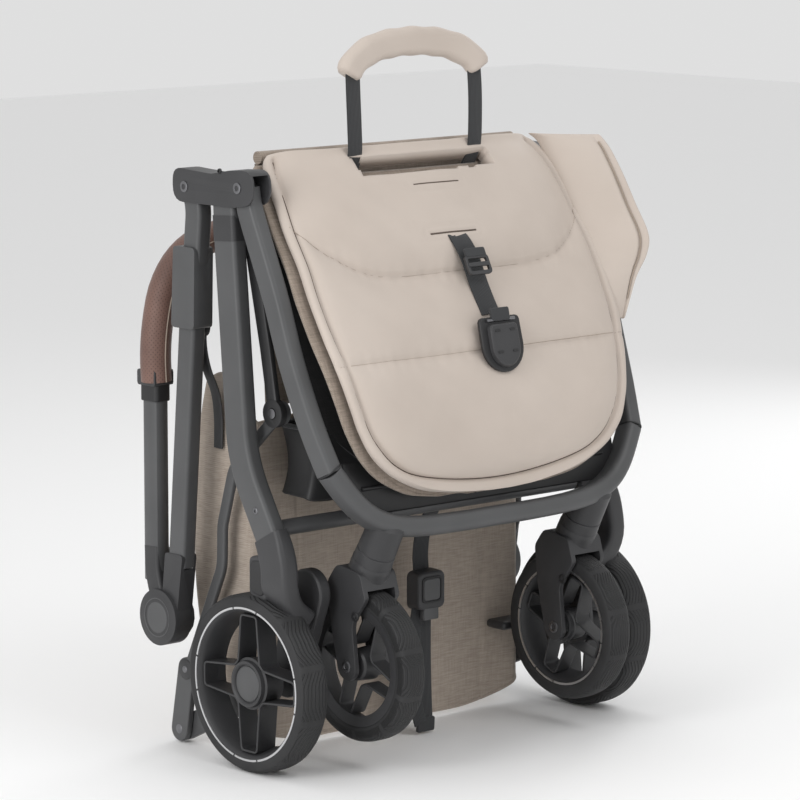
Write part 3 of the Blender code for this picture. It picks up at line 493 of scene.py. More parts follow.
for side, s in SIDES:
    X = s * 224.5
    # front leg: comes in towards the low bar as it goes down
    path = spline([(s * 224.5, 12.1, 575.6), (s * 223.5, 8, 553), (s * 221.5, -8, 512), (s * 219.5, -26, 466),
                   (s * 217, -44, 410), (s * 212, -67.5, 349), (s * 205, -86, 305)], 14)
    leg = add(f"vis_front_leg_{side}", sweep(path, FRAME_SEC, (1, 0, 0)), M_FRAME, None)
    finish_piece(leg, "front_frame", (f"front_leg_{side}",))
    # rear leg
    path = fillet([(X, 40.5, 590 - 7), (X, 38, 521), (X, 20, 307), (X, -28, 226), (X, -34, 200)], [0, 150, 30], 12)
    place(f"vis_rear_leg_{side}", sweep(path, REAR_SEC, (1, 0, 0)), M_FRAME, "rear_frame", (f"rear_leg_{side}",))
    # raised collar lines where the leg meets the hub and the housing
    place(f"leg_collar_{side}", sweep([(X, 39.6, 547), (X, 38, 522)], [(a * 1.05, b * 1.03) for a, b in REAR_SEC], (1, 0, 0)),
          M_PLASTIC, "rear_frame")
    # moulded end of the leg and its lever
    path = spline([(X, -21.5, 238), (X, -27.5, 226), (X, -33, 208), (X, -34.5, 188), (s * 216, -33, 170), (s * 198, -31, 156)], 7)
    scales = [(1.0 + 0.16 * min(1, i / 3), 1.10) for i in range(len(path))]
    place(f"leg_end_{side}", sweep(path, [(a * 1.04, b * 1.08) for a, b in REAR_SEC], (1, 0, 0), scales), M_PLASTIC, "rear_frame")
    place(f"leg_lever_{side}", prism(rounded([(2, 216), (2, 176), (-24, 172), (-26, 210), (-20, 219)], [7, 9, 7, 5, 6]), s * 233.5, s * 214.5),
          M_PLASTIC, "rear_frame", (), 2.4)
    place(f"leg_lever_rim_{side}", prism(rounded([(-1, 212), (-1, 181), (-20, 178), (-22, 207), (-18, 214)], [6, 7, 5, 4, 5]), s * 234.6, s * 230),
          M_BLACK, "rear_frame", (), 1.0)
    # moulded plate between the leg's end and the axle, and the arm for the pedal
    place(f"vis_rear_housing_{side}", prism(capsule((0, 89), (-31, 178), 21, 24), s * 176, s * 190), M_PLASTIC, "rear_frame", (f"rear_housing_{side}",), 2.0)
    place(f"rear_housing_arm_{side}", prism(capsule((2, 89), (30, 92), 19, 12), s * 175, s * 188), M_PLASTIC, "rear_frame", (), 1.6)
    # push tube
    path = [(X, 92.6, 571.5), (X, 85, 550), (X, 97, 430), (X, 116.3, 189)]
    place(f"vis_push_tube_{side}", sweep(fillet(path, [60, 400], 6), FRAME_SEC, (1, 0, 0)), M_FRAME, "push_frame",
          (f"push_tube_{side}",))

# the low bar: a wide curve down from each leg
bar = [(205, 306), (201, 300), (193.5, 289), (184, 276.5), (172, 265), (157, 255.5), (137, 248.5), (112, 244.5), (85, 242.8), (45, 242), (0, 242)]
bar = [(x, -86 - (305 - z) * 0.27, z) for x, z in bar]
bar = [tuple(p) for p in spline([Vector(p) for p in bar + [(-x, y, z) for x, y, z in reversed(bar[:-1])]], 7)]
BAR_SEC = [(a, b) for a, b in rr(26.0, 20.0, 8.0)]
place("vis_u_bar", sweep(bar, BAR_SEC, (0, 0.966, -0.26)), M_FRAME, "front_frame", ("u_bar",))
for side, s in SIDES:
    place(f"bar_seam_{side}", sweep([(s * 205.4, -85.6, 307.5), (s * 204.8, -86.1, 306.4)], [(a * 1.006, b * 1.006) for a, b in BAR_SEC],
                                    (0, 0.966, -0.26)), M_BLACK, "front_frame")

# caster sockets: plain turned cylinders that grow out of the bar's underside
def turned_on(axis_a, axis_b, profile, steps=56):
    """A turned piece about the line from axis_a to axis_b; the profile holds (distance along, radius)."""
    a, b = Vector(axis_a), Vector(axis_b)
    d = (b - a).normalized()
    e = d.cross(Vector((1, 0, 0))).normalized()
    f = d.cross(e)
    bm = bmesh.new()
    loops = []
    for t, r in profile:
        c = a + d * t
        loops.append([bm.verts.new(at(*(c + (e * math.cos(k) + f * math.sin(k)) * max(r, 0.01)))) for k in [2 * math.pi * i / steps for i in range(steps)]])
    for p0, p1 in zip(loops, loops[1:]):
        for i in range(steps):
            bm.faces.new((p0[i], p0[(i + 1) % steps], p1[(i + 1) % steps], p1[i]))
    bm.faces.new(loops[0])
    bm.faces.new(list(reversed(loops[-1])))
    return from_bm(bm)


for side, s in SIDES:
    X = s * 141.8
    top, low = (X, -101, 254), (X, -68.4, 194.7)
    prof = [(0, 15), (3, 18.5), (22, 19.0), (36, 19.4), (37.0, 18.6), (38.0, 19.6), (56, 20.6), (60, 20.4), (62, 18), (62, 8)]
    place(f"vis_caster_socket_{side}", turned_on(top, low, prof), M_PLASTIC, "front_frame", (f"caster_socket_{side}",), 0, 40)

# ------------------------------------------------------------------ handle
for side, s in SIDES:
    X = s * 226.0
    place(f"vis_grip_neck_{side}", sweep([(X, 153.5, 352), (X, 153.5, 369)], [(a * 1.16, b * 1.1) for a, b in FRAME_SEC], (1, 0, 0)),
          M_BLACK, "handle", (), 1.0)
grip_pts = [(-226, 151.5, 372), (-227, 151.5, 400), (-224, 151.5, 430), (-216, 151.5, 462), (-200, 151.5, 487), (-178, 151.5, 503),
            (-150, 151.5, 511), (-110, 151.5, 514.5), (0, 151.5, 516)]
grip_pts = grip_pts + [(-x, y, z) for x, y, z in reversed(grip_pts[:-1])]
path = spline(grip_pts, 10)
place("vis_handle_grip", sweep(path, ring_section(15.6, 40), (0, 1, 0)), M_GRIP, "handle", ("handle_grip",))
place("grip_stitching", sweep([(p.x, p.y - 0.0, p.z) for p in path], [(a - 15.4, b) for a, b in ring_section(0.8, 8)], (0, 1, 0)),
      M_THREAD, "handle")


# ------------------------------------------------------------------ wheels
def wall_loop(outline, thick, x0, x1):
    """A standing wall that follows a closed outline in (y, z), from x0 to x1."""
    n = len(outline)
    inner = []
    for i in range(n):
        p0, p1, p2 = (Vector((*outline[(i + k) % n], 0)) for k in (-1, 0, 1))
        t = (p2 - p0).normalized()
        nn = Vector((-t.y, t.x, 0))
        inner.append((p1.x + nn.x * thick, p1.y + nn.y * thick))
    bm = bmesh.new()
    loops = []
    for pts, x in ((outline, x0), (outline, x1), (inner, x1), (inner, x0)):
        loops.append([bm.verts.new(at(x, y, z)) for y, z in pts])
    for a in range(4):
        A, B = loops[a], loops[(a + 1) % 4]
        for i in range(n):
            bm.faces.new((A[i], A[(i + 1) % n], B[(i + 1) % n], B[i]))
    return from_bm(bm)


def wheel(tag, body, centre, s, R, W, ring, hub_r, cap_r, turn, ring_side, nodes):
    cx, cy, cz = centre
    h = W / 2
    face = s * ring_side
    # tyre: flat sidewall band outside the ring, rounded shoulders, slightly crowned tread
    prof = [(h - 0.6, ring + 0.9), (h, ring + 2.4), (h - 0.2, R - 5.0), (h - 1.6, R - 2.6), (h - 4.2, R - 0.9), (h - 8, R - 0.15),
            (0, R), (-h + 8, R - 0.15), (-h + 4.2, R - 0.9), (-h + 1.6, R - 2.6), (-h + 0.2, R - 5.0), (-h, ring + 2.4),
            (-h + 0.6, ring + 0.9), (-h + 4, ring - 1.4), (h - 4, ring - 1.4)]
    uvs = [-0.02, -0.018, -0.012, 0.001, 0.004, 0.008, 0.016, 0.024, 0.028, 0.031, 0.034, -0.01, -0.012, -0.013, -0.014]
    tyre = add(f"vis_{tag}_tyre", revolve([(face * x, r) for x, r in prof], centre, 128, True, uvs), M_TYRE, None, sharp=50)
    finish_piece(tyre, body, (nodes[0],))
    # rim barrel: lip at the face, deep cone behind it
    lip = ring - 1.6
    prof = [(h - 1.2, ring + 0.7), (h - 0.9, lip), (h - 2.2, lip - 1.2), (h - 6, lip - 3.4), (-h + 6, lip - 8.5), (-h + 3, lip - 8.5),
            (-h + 1.5, lip - 3), (-h + 1.2, ring + 0.6), (-h + 5, ring - 1.7), (h - 5, ring - 1.7)]
    parts = [revolve([(face * x, r) for x, r in prof], centre, 112)]
    # the cross of four open arms
    arm_out, w0, w1 = lip - 5.0, 0.165 * ring, 0.225 * ring
    pts = []
    for k in range(4):
        a = math.radians(turn + 90 * k)
        d, e = Vector((math.cos(a), math.sin(a), 0)), Vector((-math.sin(a), math.cos(a), 0))
        inner = w1 * 1.15 + 2
        pts.append((d * inner - e * w1))
        pts.append((d * arm_out - e * w0))
        pts.append((d * arm_out + e * w0))
        pts.append((d * inner + e * w1))
    rad = []
    for k in range(4):
        rad += [4, 6, 6, 4]
    outline = rounded([(cy + p.x, cz + p.y) for p in pts], rad, 5)
    parts.append(wall_loop(outline, 2.3, cx + face * (h - 4.5), cx + face * (-h + 5.5)))
    for mesh in parts[1:]:
        pass
    rim = add(f"vis_{tag}_rim", parts[0], M_PLASTIC, None, sharp=40)
    finish_piece(rim, body, (nodes[1],))
    cross = add(f"vis_{tag}_spokes", parts[1], M_PLASTIC, None, sharp=40)
    bevelled(cross, 0.7, 2, 50)
    finish_piece(cross, body)
    # hub with a recessed disc
    prof = [(h - 4.5, 0), (h - 4.5, cap_r - 2.5), (h - 2.2, cap_r - 1.5), (h - 1.4, cap_r), (h - 1.8, cap_r + 1.8), (h - 6, cap_r + 2.6),
            (h - 7, hub_r), (-h + 4, hub_r * 0.92), (-h + 2, hub_r * 0.8), (-h + 2, 0)]
    place(f"vis_{tag}_hub", revolve([(face * x, r) for x, r in prof], centre, 72, False), M_PLASTIC, body, (), 0, 40)
    prof = [(h - 3.0, 0), (h - 3.1, cap_r - 5), (h - 3.6, cap_r - 3.6), (h - 4.6, cap_r - 3.4), (h - 4.6, 0)]
    place(f"vis_{tag}_hub_disc", revolve([(face * x, r) for x, r in prof], centre, 72, False), M_FRAME, body, (), 0, 40)
    # bright ring in eight pieces
    for k in range(4):
        base = turn + 90 * k
        for a0, a1 in ((base - 12.5, base + 12.5), (base + 14.0, base + 76.0)):
            n = max(4, int((a1 - a0) / 3))
            bm = bmesh.new()
            sec = [(h - 1.5, ring - 1.3), (h - 0.15, ring - 1.0), (h - 0.15, ring + 1.0), (h - 1.5, ring + 1.3)]
            rings = []
            for i in range(n + 1):
                a = math.radians(a0 + (a1 - a0) * i / n)
                rings.append([bm.verts.new(at(cx + face * x, cy + r * math.cos(a), cz + r * math.sin(a))) for x, r in sec])
            for i in range(n):
                for j in range(4):
                    bm.faces.new((rings[i][j], rings[i][(j + 1) % 4], rings[i + 1][(j + 1) % 4], rings[i + 1][j]))
            bm.faces.new(rings[0])
            bm.faces.new(list(reversed(rings[-1])))
            add(f"vis_{tag}_ring_{k}_{int(a1 - a0)}", from_bm(bm), M_RING, body)
    return tyre


for side, s in SIDES:
    wheel(f"rear_{side}", f"rear_wheel_{side}", (s * 224, 0, 89), s, 89.0, 33.6, 75.7, 26.0, 21.0, 0, 1,
          (f"rear_{side}_tyre", f"rear_{side}_rim"))
    wheel(f"front_{side}", f"front_wheel_{side}", (s * 141.8, -64.7, 106.2), s, 77.0, 28.8, 60.7, 17.0, 13.0, 22, -1,
          (f"front_{side}_tyre", f"front_{side}_rim"))


# ------------------------------------------------------------------ seat pad
EDGE = [(174.6, 37.2, 602.4), (183, 32, 595.4), (191, 16.5, 580.4), (194.6, -0.2, 558.6), (197.5, -18.3, 531.5),
        (198.5, -39, 501.7), (199, -53.4, 475.2), (198, -66, 451.8), (197, -76.5, 432.8),
        (194.5, -87.0, 412.7), (190.8, -94.9, 392.0), (186, -101.5, 369.0), (180, -106.5, 346), (167, -111, 320.6),
        (143, -113, 299), (108, -112, 283), (66, -110.5, 275), (24, -109, 271.5)]
BULGE = (-12.0, -12, -13, -13.5, -12, -7, -2, 0, 0, 0, 0, 0, 0, 0, 0, 0, 0, 0)


def dense(stations, step):
    """Interpolates the edge stations finely: arrays of half width, y, z, bulge and length along."""
    pts = spline([Vector(e) for e in stations], step)
    zs = np.array([e[2] for e in stations])[::-1]
    bs = np.array(BULGE[:len(stations)])[::-1]
    rows, s = [], 0.0
    for i, p in enumerate(pts):
        if i:
            s += math.hypot(p.y - pts[i - 1].y, p.z - pts[i - 1].z)
        rows.append((p.x, p.y, p.z, float(np.interp(p.z, zs, bs)), s))
    return rows


ROWS = dense(EDGE, 2.6)
ROW_A = np.array(ROWS)


def s_of_z(z):
    return float(np.interp(z, ROW_A[::-1, 2], ROW_A[::-1, 4]))


def w_of_s(s):
    return float(np.interp(s, ROW_A[:, 4], ROW_A[:, 0]))


def surface(X, s):
    """A point on the pad's face at X and length s from its top edge (mm)."""
    w = np.interp(s, ROW_A[:, 4], ROW_A[:, 0])
    y = np.interp(s, ROW_A[:, 4], ROW_A[:, 1])
    z = np.interp(s, ROW_A[:, 4], ROW_A[:, 2])
    b = np.interp(s, ROW_A[:, 4], ROW_A[:, 3])
    u = np.clip(np.abs(X) / w, 0, 1)
    return Vector((X, y + b * (1 - u ** 2.5), z))


def seg_dist(P, line):
    """Distance from each point of P (n, 2) to a polyline."""
    line = np.array(line, float)
    best = np.full(len(P), 1e9)
    for a, b in zip(line, line[1:]):
        d = b - a
        t = np.clip(((P - a) @ d) / max(1e-9, d @ d), 0, 1)
        best = np.minimum(best, np.linalg.norm(P - (a + t[:, None] * d), axis=1))
    return best


def smooth_line(pts, step=6.0):
    return [(p.x, p.y) for p in spline([Vector((x, y, 0)) for x, y in pts], step)]


SEAM_UP = smooth_line([(x, s_of_z(z)) for x, z in ((-192, 538), (-179, 524), (-165, 513), (-151, 505), (-136, 496.5), (-119, 489.5), (-95, 485),
                                                    (-56, 483.6), (0, 483.5), (56, 483.6), (95, 484.5), (119, 487), (138, 491), (158, 501), (175, 513),
                                                    (186, 524), (194, 538))])
SEAM_LOW = [(-191, s_of_z(408)), (191, s_of_z(405.8))]
PIPE = [(x, s_of_z(z)) for x, z in ((-171, 598), (-179, 584), (-184, 560), (-187.5, 532), (-188.5, 500), (-189, 470), (-187, 435),
                                      (-183, 410), (-177, 375), (-169, 346), (-157, 326), (-140, 309), (-112, 295.5), (-60, 285.5), (0, 281.5))]
PIPE = smooth_line(PIPE + [(-x, y) for x, y in reversed(PIPE[:-1])])
SLITS = [[(-30, s_of_z(564.2)), (31, s_of_z(564.2))], [(-30, s_of_z(518.7)), (31, s_of_z(518.7))]]


def crease_noise(X, s):
    """Slow, soft creases, the same on every run."""
    return (0.9 * np.sin(X / 31.0 + s / 47.0 + 1.3) * np.sin(s / 38.0 - X / 90.0 + 0.4)
            + 0.55 * np.sin((X * 0.8 + s * 0.6) / 14.0 + 2.0) * np.sin((X * 0.3 - s) / 33.0)
            + 0.35 * np.sin((X - 1.4 * s) / 9.0) * np.sin((X + 0.5 * s) / 41.0))


def pad_height(P):
    """How far the face stands out from its base surface, in mm, for points (X, s)."""
    X, s = P[:, 0], P[:, 1]
    du, dl, dp = seg_dist(P, SEAM_UP), seg_dist(P, SEAM_LOW), seg_dist(P, PIPE)
    w = np.interp(s, ROW_A[:, 4], ROW_A[:, 0])
    h = 9.5 * (1 - np.exp(-(du / 24.0) ** 1.1)) + 7.5 * (1 - np.exp(-(dl / 22.0) ** 1.1)) - 11.0
    h += 1.0 * crease_noise(X, s)
    pucker = np.sin(X / 3.7 + 2.0 * np.sin(X / 23.0)) * np.sin(X / 8.3 + 1.0)
    h += 0.7 * pucker * np.exp(-(du / 10.0) ** 2) + 0.6 * pucker * np.exp(-(dl / 10.0) ** 2)
    h -= 1.9 * np.exp(-(du / 2.4) ** 2) + 1.7 * np.exp(-(dl / 2.4) ** 2)
    inside = 1 - np.exp(-(dp / 15.0) ** 1.3)
    h = h * inside
    h -= 3.4 * np.exp(-(dp / 1.7) ** 2) + 1.8 * np.exp(-(dp / 6.0) ** 2)
    rim = w - np.abs(X)
    h -= 2.4 * np.exp(-(np.maximum(rim, 0) / 4.0) ** 2)
    for slit in SLITS:
        d = seg_dist(P, slit)
        h -= 1.6 * np.exp(-(d / 1.4) ** 2)
        h -= 0.8 * np.exp(-((d - 7.0) / 1.6) ** 2)
    return h


def pad_mesh(nx, thick, edge_r, height=None, back=0.0, widen=0.0, hole=None, rows=None):
    rows = rows or ROWS
    pts_f, grid = [], []
    for w, y, z, b, s in rows:
        w = w + widen
        for k in range(nx + 1):
            u = -1 + 2 * k / nx
            u = math.copysign(1 - (1 - abs(u)) ** 1.15, u)
            pts_f.append((w * u, y + b * (1 - abs(u) ** 2.5), z, s))
    P = np.array(pts_f)
    nr = len(rows)
    G = P[:, :3].reshape(nr, nx + 1, 3)
    tu = np.gradient(G, axis=1)
    tv = np.gradient(G, axis=0)
    N = np.cross(tu, tv)
    N /= np.maximum(1e-9, np.linalg.norm(N, axis=2, keepdims=True))
    N[N[..., 1] > 0] *= -1
    H = height(P[:, [0, 3]]).reshape(nr, nx + 1) if height else np.zeros((nr, nx + 1))
    front = G + N * (H - back)[..., None]
    backs = G - N * (thick + back)
    bm = bmesh.new()
    F = [[bm.verts.new(at(*front[r, k])) for k in range(nx + 1)] for r in range(nr)]
    Bk = [[bm.verts.new(at(*backs[r, k])) for k in range(nx + 1)] for r in range(nr)]
    keep = lambda r, k: not (hole and hole((front[r, k] + front[r + 1, k + 1]) / 2))
    dead = set()
    for r in range(nr - 1):
        for k in range(nx):
            if not keep(r, k):
                dead.add((r, k))
                continue
            bm.faces.new((F[r][k], F[r][k + 1], F[r + 1][k + 1], F[r + 1][k]))
            bm.faces.new((Bk[r + 1][k], Bk[r + 1][k + 1], Bk[r][k + 1], Bk[r][k]))
    # walls round the outside, standing out as a rolled edge
    loop = [(0, k) for k in range(nx + 1)] + [(r, nx) for r in range(1, nr)] + [(nr - 1, k) for k in range(nx - 1, -1, -1)] \
        + [(r, 0) for r in range(nr - 2, 0, -1)]
    mids = []
    n = len(loop)
    for i, (r, k) in enumerate(loop):
        (r0, k0), (r1, k1) = loop[i - 1], loop[(i + 1) % n]
        tt = front[r1, k1] - front[r0, k0]
        out = np.cross(tt, N[r, k])
        out /= max(1e-9, np.linalg.norm(out))
        c = (front[r, k] + backs[r, k]) / 2
        if np.dot(out, c - np.array([0, c[1], 440])) < 0:
            out = -out
        f1 = front[r, k] * 0.8 + backs[r, k] * 0.2 + out * edge_r * 0.75
        f2 = c + out * edge_r
        f3 = front[r, k] * 0.2 + backs[r, k] * 0.8 + out * edge_r * 0.75
        mids.append([bm.verts.new(at(*f)) for f in (f1, f2, f3)])
    for i, (r, k) in enumerate(loop):
        j = (i + 1) % n
        r1, k1 = loop[j]
        chain_a = [F[r][k]] + mids[i] + [Bk[r][k]]
        chain_b = [F[r1][k1]] + mids[j] + [Bk[r1][k1]]
        for a in range(4):
            bm.faces.new((chain_a[a], chain_a[a + 1], chain_b[a + 1], chain_b[a]))
    for r, k in dead:
        for dr, dk, e in ((-1, 0, ((0, 0), (0, 1))), (1, 0, ((1, 0), (1, 1))), (0, -1, ((0, 0), (1, 0))), (0, 1, ((0, 1), (1, 1)))):
            if (r + dr, k + dk) not in dead:
                (a0, b0), (a1, b1) = e
                bm.faces.new((F[r + a0][k + b0], F[r + a1][k + b1], Bk[r + a1][k + b1], Bk[r + a0][k + b0]))
    loose = [v for v in bm.verts if not v.link_faces]
    bmesh.ops.delete(bm, geom=loose, context="VERTS")
    return from_bm(bm)


def carry_hole(p):
    return abs(p[0] - 2) < 90.5 and 579.6 < p[2] < 596.2


pad = add("vis_seat_pad", pad_mesh(150, 9.0, 2.6, pad_height, 0.0, -1.5, carry_hole), M_LEATHER, None, sharp=0)
finish_piece(pad, "seat", ("seat_pad",))

BASE_ROWS = [(w, y, z, b, s) for w, y, z, b, s in ROWS[2:]]


def base_height(P):
    d = np.interp(P[:, 1], ROW_A[:, 4], ROW_A[:, 0]) + 8 - np.abs(P[:, 0])
    return -1.2 * np.exp(-((d - 11.0) / 1.2) ** 2)


def lowered(rows, drop, grow):
    """The same panel, a little longer and wider, so it shows past the pad's edge."""
    out = []
    for i, (w, y, z, b, s) in enumerate(rows):
        f = min(1.0, max(0.0, (z - 271) / 60.0))
        out.append((w + grow, y, z - drop * (1 - f), b, s))
    return out


base = add("vis_seat_base", pad_mesh(90, 4.0, 1.2, base_height, 13.0, 0.0, carry_hole, lowered(BASE_ROWS, 9.0, 8.5)), M_WOVEN, None, sharp=0)
finish_piece(base, "seat", ("seat_base",))


SAG_ROWS = []
for w, y, z, b, s_ in ROWS[26:]:
    t = min(1.0, max(0.0, (z - 268) / (585 - 268)))
    SAG_ROWS.append((w - 9 - 5 * math.sin(math.pi * t), y + 20 + 62 * math.sin(math.pi * t ** 0.8) ** 0.9, z + 4 * (1 - t), 0.3 * b, s_))


def folds(P):
    return 1.6 * np.sin(P[:, 1] / 11.0 + 1.4 * np.sin(P[:, 0] / 37.0)) + 1.2 * np.sin(P[:, 0] / 15.0 + P[:, 1] / 29.0)


lining = add("seat_lining", pad_mesh(80, 1.6, 0.8, folds, 0.0, 0.0, None, SAG_ROWS), M_LINING, None, sharp=0)
finish_piece(lining, "seat")


def on_pad(line, lift, radius, mat, name, n_sec=10):
    pts, nrm = [], []
    P = np.array(line)
    H = pad_height(P)
    for (x, s), h in zip(line, H):
        p = surface(x, s)
        px = surface(x + 1, s) - surface(x - 1, s)
        ps = surface(x, s + 1) - surface(x, s - 1)
        nn = px.cross(ps).normalized()
        if nn.y > 0:
            nn = -nn
        pts.append(p + nn * (h + lift))
        nrm.append(nn)
    return place(name, sweep(pts, ring_section(radius, n_sec), (0, 0, 1), normals=nrm), mat, "seat")


# painted shadow: dark tubes in the bottom of the piping groove and of the two slits stand in for the shade there
on_pad(PIPE, 0.35, 0.55, M_SEAM_SHADOW, "pad_edge_seam_shadow", 8)
on_pad(SEAM_UP, 0.05, 0.30, M_THREAD, "quilting_upper", 8)
on_pad([(SEAM_LOW[0][0] + (SEAM_LOW[1][0] - SEAM_LOW[0][0]) * k / 90, SEAM_LOW[0][1]) for k in range(91)], 0.05, 0.30, M_THREAD, "quilting_lower", 8)
for i, slit in enumerate(SLITS):
    x0, x1 = slit[0][0], slit[1][0]
    on_pad([(x0 + (x1 - x0) * k / 12, slit[0][1]) for k in range(13)], 0.5, 0.9, M_SEAM_SHADOW, f"pad_slit_shadow_{i}", 8)

# ------------------------------------------------------------------ right wing
WING = [((177, 37, 604), (236, -10, 602)), ((182, 26, 595), (238, -24, 588)), ((186, 11, 571), (239.5, -42, 562)), ((189, -7, 545), (241, -58, 534)),
        ((191, -27, 514), (242.5, -76, 503)), ((192, -45, 484), (240, -76, 482)), ((193, -59, 458), (231, -70, 460)),
        ((193, -69, 438), (219, -72, 438)), ((192, -78, 420), (206, -76, 418))]
wr = spline([Vector(a) for a, b in WING], 4)
wr2 = spline([Vector(b) for a, b in WING], 4)
n = min(len(wr), len(wr2))
wr = [wr[round(i * (len(wr) - 1) / (n - 1))] for i in range(n)]
wr2 = [wr2[round(i * (len(wr2) - 1) / (n - 1))] for i in range(n)]
bm = bmesh.new()
NW = 24
front_r, back_r = [], []
for i in range(n):
    p, q = wr[i], wr2[i]
    v = i / (n - 1)
    rowf, rowb = [], []
    for k in range(NW + 1):
        u = k / NW
        x = p.x + (q.x - p.x) * u
        y = p.y + (q.y - p.y) * u ** (0.42 + 0.58 * min(1.0, v / 0.45))
        z = p.z + (q.z - p.z) * u
        puff = 3.6 * (math.sin(math.pi * min(1, u * 1.12)) ** 0.6 if u < 0.89 else 0) * math.sin(math.pi * min(1, max(0, v)) ** 0.9) ** 0.5
        if u >= 0.86:
            puff = 2.4 * math.sin(math.pi * (u - 0.86) / 0.14) ** 0.8 if u < 1 else 0
        if abs(u - 0.86) < 0.03:
            puff = -0.8
        rowf.append(bm.verts.new(at(x, y - puff, z)))
        rowb.append(bm.verts.new(at(x, y + 5.5 + (0 if 0 < k < NW else -2.2), z)))
    front_r.append(rowf)
    back_r.append(rowb)
for i in range(n - 1):
    for k in range(NW):
        bm.faces.new((front_r[i][k], front_r[i][k + 1], front_r[i + 1][k + 1], front_r[i + 1][k]))
        bm.faces.new((back_r[i + 1][k], back_r[i + 1][k + 1], back_r[i][k + 1], back_r[i][k]))
    for k in (0, NW):
        bm.faces.new((front_r[i][k], front_r[i + 1][k], back_r[i + 1][k], back_r[i][k]))
for r in (0, n - 1):
    for k in range(NW):
        bm.faces.new((front_r[r][k], front_r[r][k + 1], back_r[r][k + 1], back_r[r][k]))
WING_SEAM = []
for i in range(3, n - 6):
    v = i / (n - 1)
    u = 0.84
    p, q = wr[i], wr2[i]
    WING_SEAM.append((p.x + (q.x - p.x) * u, p.y + (q.y - p.y) * u ** (0.42 + 0.58 * min(1.0, v / 0.45)) - 1.0, p.z + (q.z - p.z) * u))
place("wing_seam", sweep(WING_SEAM, ring_section(0.8, 8), (1, 0, 0)), M_THREAD, "front_frame")
wing = add("vis_seat_wing", from_bm(bm), M_LEATHER, None, sharp=0)
sub = wing.modifiers.new("smooth", "SUBSURF")
sub.levels = sub.render_levels = 1
finish_piece(wing, "front_frame", ("seat_wing_right",))

# ------------------------------------------------------------------ carry handle
for side, s in SIDES:
    path = spline([(s * 80, 30, 573), (s * 80.3, 22, 584), (s * 81, 16, 600), (s * 82, 15.6, 628), (s * 82.5, 16.6, 656), (s * 82, 18.5, 684)], 5)
    place(f"vis_carry_web_{side}", sweep(path, rr(18.5, 1.9, 0.8, 3), (1, 0, 0)), M_WEBBING, "carry_handle", (f"carry_webbing_{side}",))
sl = [(-88.5, 17.5, 677), (-85, 18.5, 682.5), (-76, 20, 690.5), (-60, 22, 698.5), (-36, 23.5, 704.5), (0, 24, 707)]
sl = sl + [(-x, y, z) for x, y, z in reversed(sl[:-1])]
path = spline(sl, 4)
L = len(path)
scales = []
for i in range(L):
    t = i / (L - 1)
    e = min(t, 1 - t) * 2
    bulge = 0.80 + 0.20 * min(1, e / 0.08) ** 0.5
    scales.append((bulge, bulge * (1.0 + 0.04 * math.sin(t * 40))))
sleeve = add("vis_carry_sleeve", sweep(path, [(b, a) for a, b in rr(29, 17, 8.4, 8)], (0, 1, 0), scales), M_LEATHER, None, sharp=0)
finish_piece(sleeve, "carry_handle", ("carry_sleeve",))

# ------------------------------------------------------------------ crotch strap and buckle
strap_line = [(1, 518.6, -1.0), (3, 515.5, 3.0), (6, 505, 5.0), (10, 490, 5.2), (13, 470, 4.6), (15, 452, 4.6), (16, 438, 5.0)]
pts, nrm = [], []
for x, z, lift in strap_line:
    s_ = s_of_z(z)
    p = surface(x, s_)
    nn = (surface(x + 1, s_) - surface(x - 1, s_)).cross(surface(x, s_ + 1) - surface(x, s_ - 1)).normalized()
    if nn.y > 0:
        nn = -nn
    pts.append(p + nn * lift)
path = spline(pts, 3)
STRAP_END = path[-1]
place("vis_crotch_strap", sweep(path, rr(25, 2.0, 0.9, 3), (1, 0, 0)), M_WEBBING, "seat", ("crotch_strap",))


def turned_x(name, centre, profile, mat, body, steps=40, sharp=35.0, nodes=()):
    """A turned piece about an axis along X; the profile runs from (x offset, radius 0) to (x offset, radius 0)."""
    return place(name, revolve(profile, centre, steps, False), mat, body, nodes, 0, sharp)


def tilted(x, y, z, centre, angle):
    """A point given in a piece's own axes, turned about X by angle degrees and put at centre."""
    a = math.radians(angle)
    return (centre[0] + x, centre[1] + y * math.cos(a) - z * math.sin(a), centre[2] + y * math.sin(a) + z * math.cos(a))


def slab_xz(outline, y0, y1, centre, angle, taper=1.0):
    """A plate with an outline in (x, z), from y0 to y1, tilted about X."""
    bm = bmesh.new()
    a = [bm.verts.new(at(*tilted(x, y0, z, centre, angle))) for x, z in outline]
    b = [bm.verts.new(at(*tilted(x * taper, y1, z * taper, centre, angle))) for x, z in outline]
    n = len(outline)
    for i in range(n):
        bm.faces.new((a[i], a[(i + 1) % n], b[(i + 1) % n], b[i]))
    bm.faces.new(a)
    bm.faces.new(list(reversed(b)))
    return from_bm(bm)


def slab_with_hole(outline, hole, y0, y1, centre, angle):
    """A plate with one opening: both outlines have the same number of points."""
    bm = bmesh.new()
    loops = []
    for pts, y in ((outline, y0), (outline, y1), (hole, y1), (hole, y0)):
        loops.append([bm.verts.new(at(*tilted(x, y, z, centre, angle))) for x, z in pts])
    n = len(outline)
    for k in range(4):
        A, B = loops[k], loops[(k + 1) % 4]
        for i in range(n):
            bm.faces.new((A[i], A[(i + 1) % n], B[(i + 1) % n], B[i]))
    return from_bm(bm)


def rect(w, h, r, cx=0.0, cz=0.0, n=5):
    """A rounded rectangle in (x, z) about (cx, cz)."""
    return [(cx + x, cz + z) for x, z in rr(w, h, r, n)]


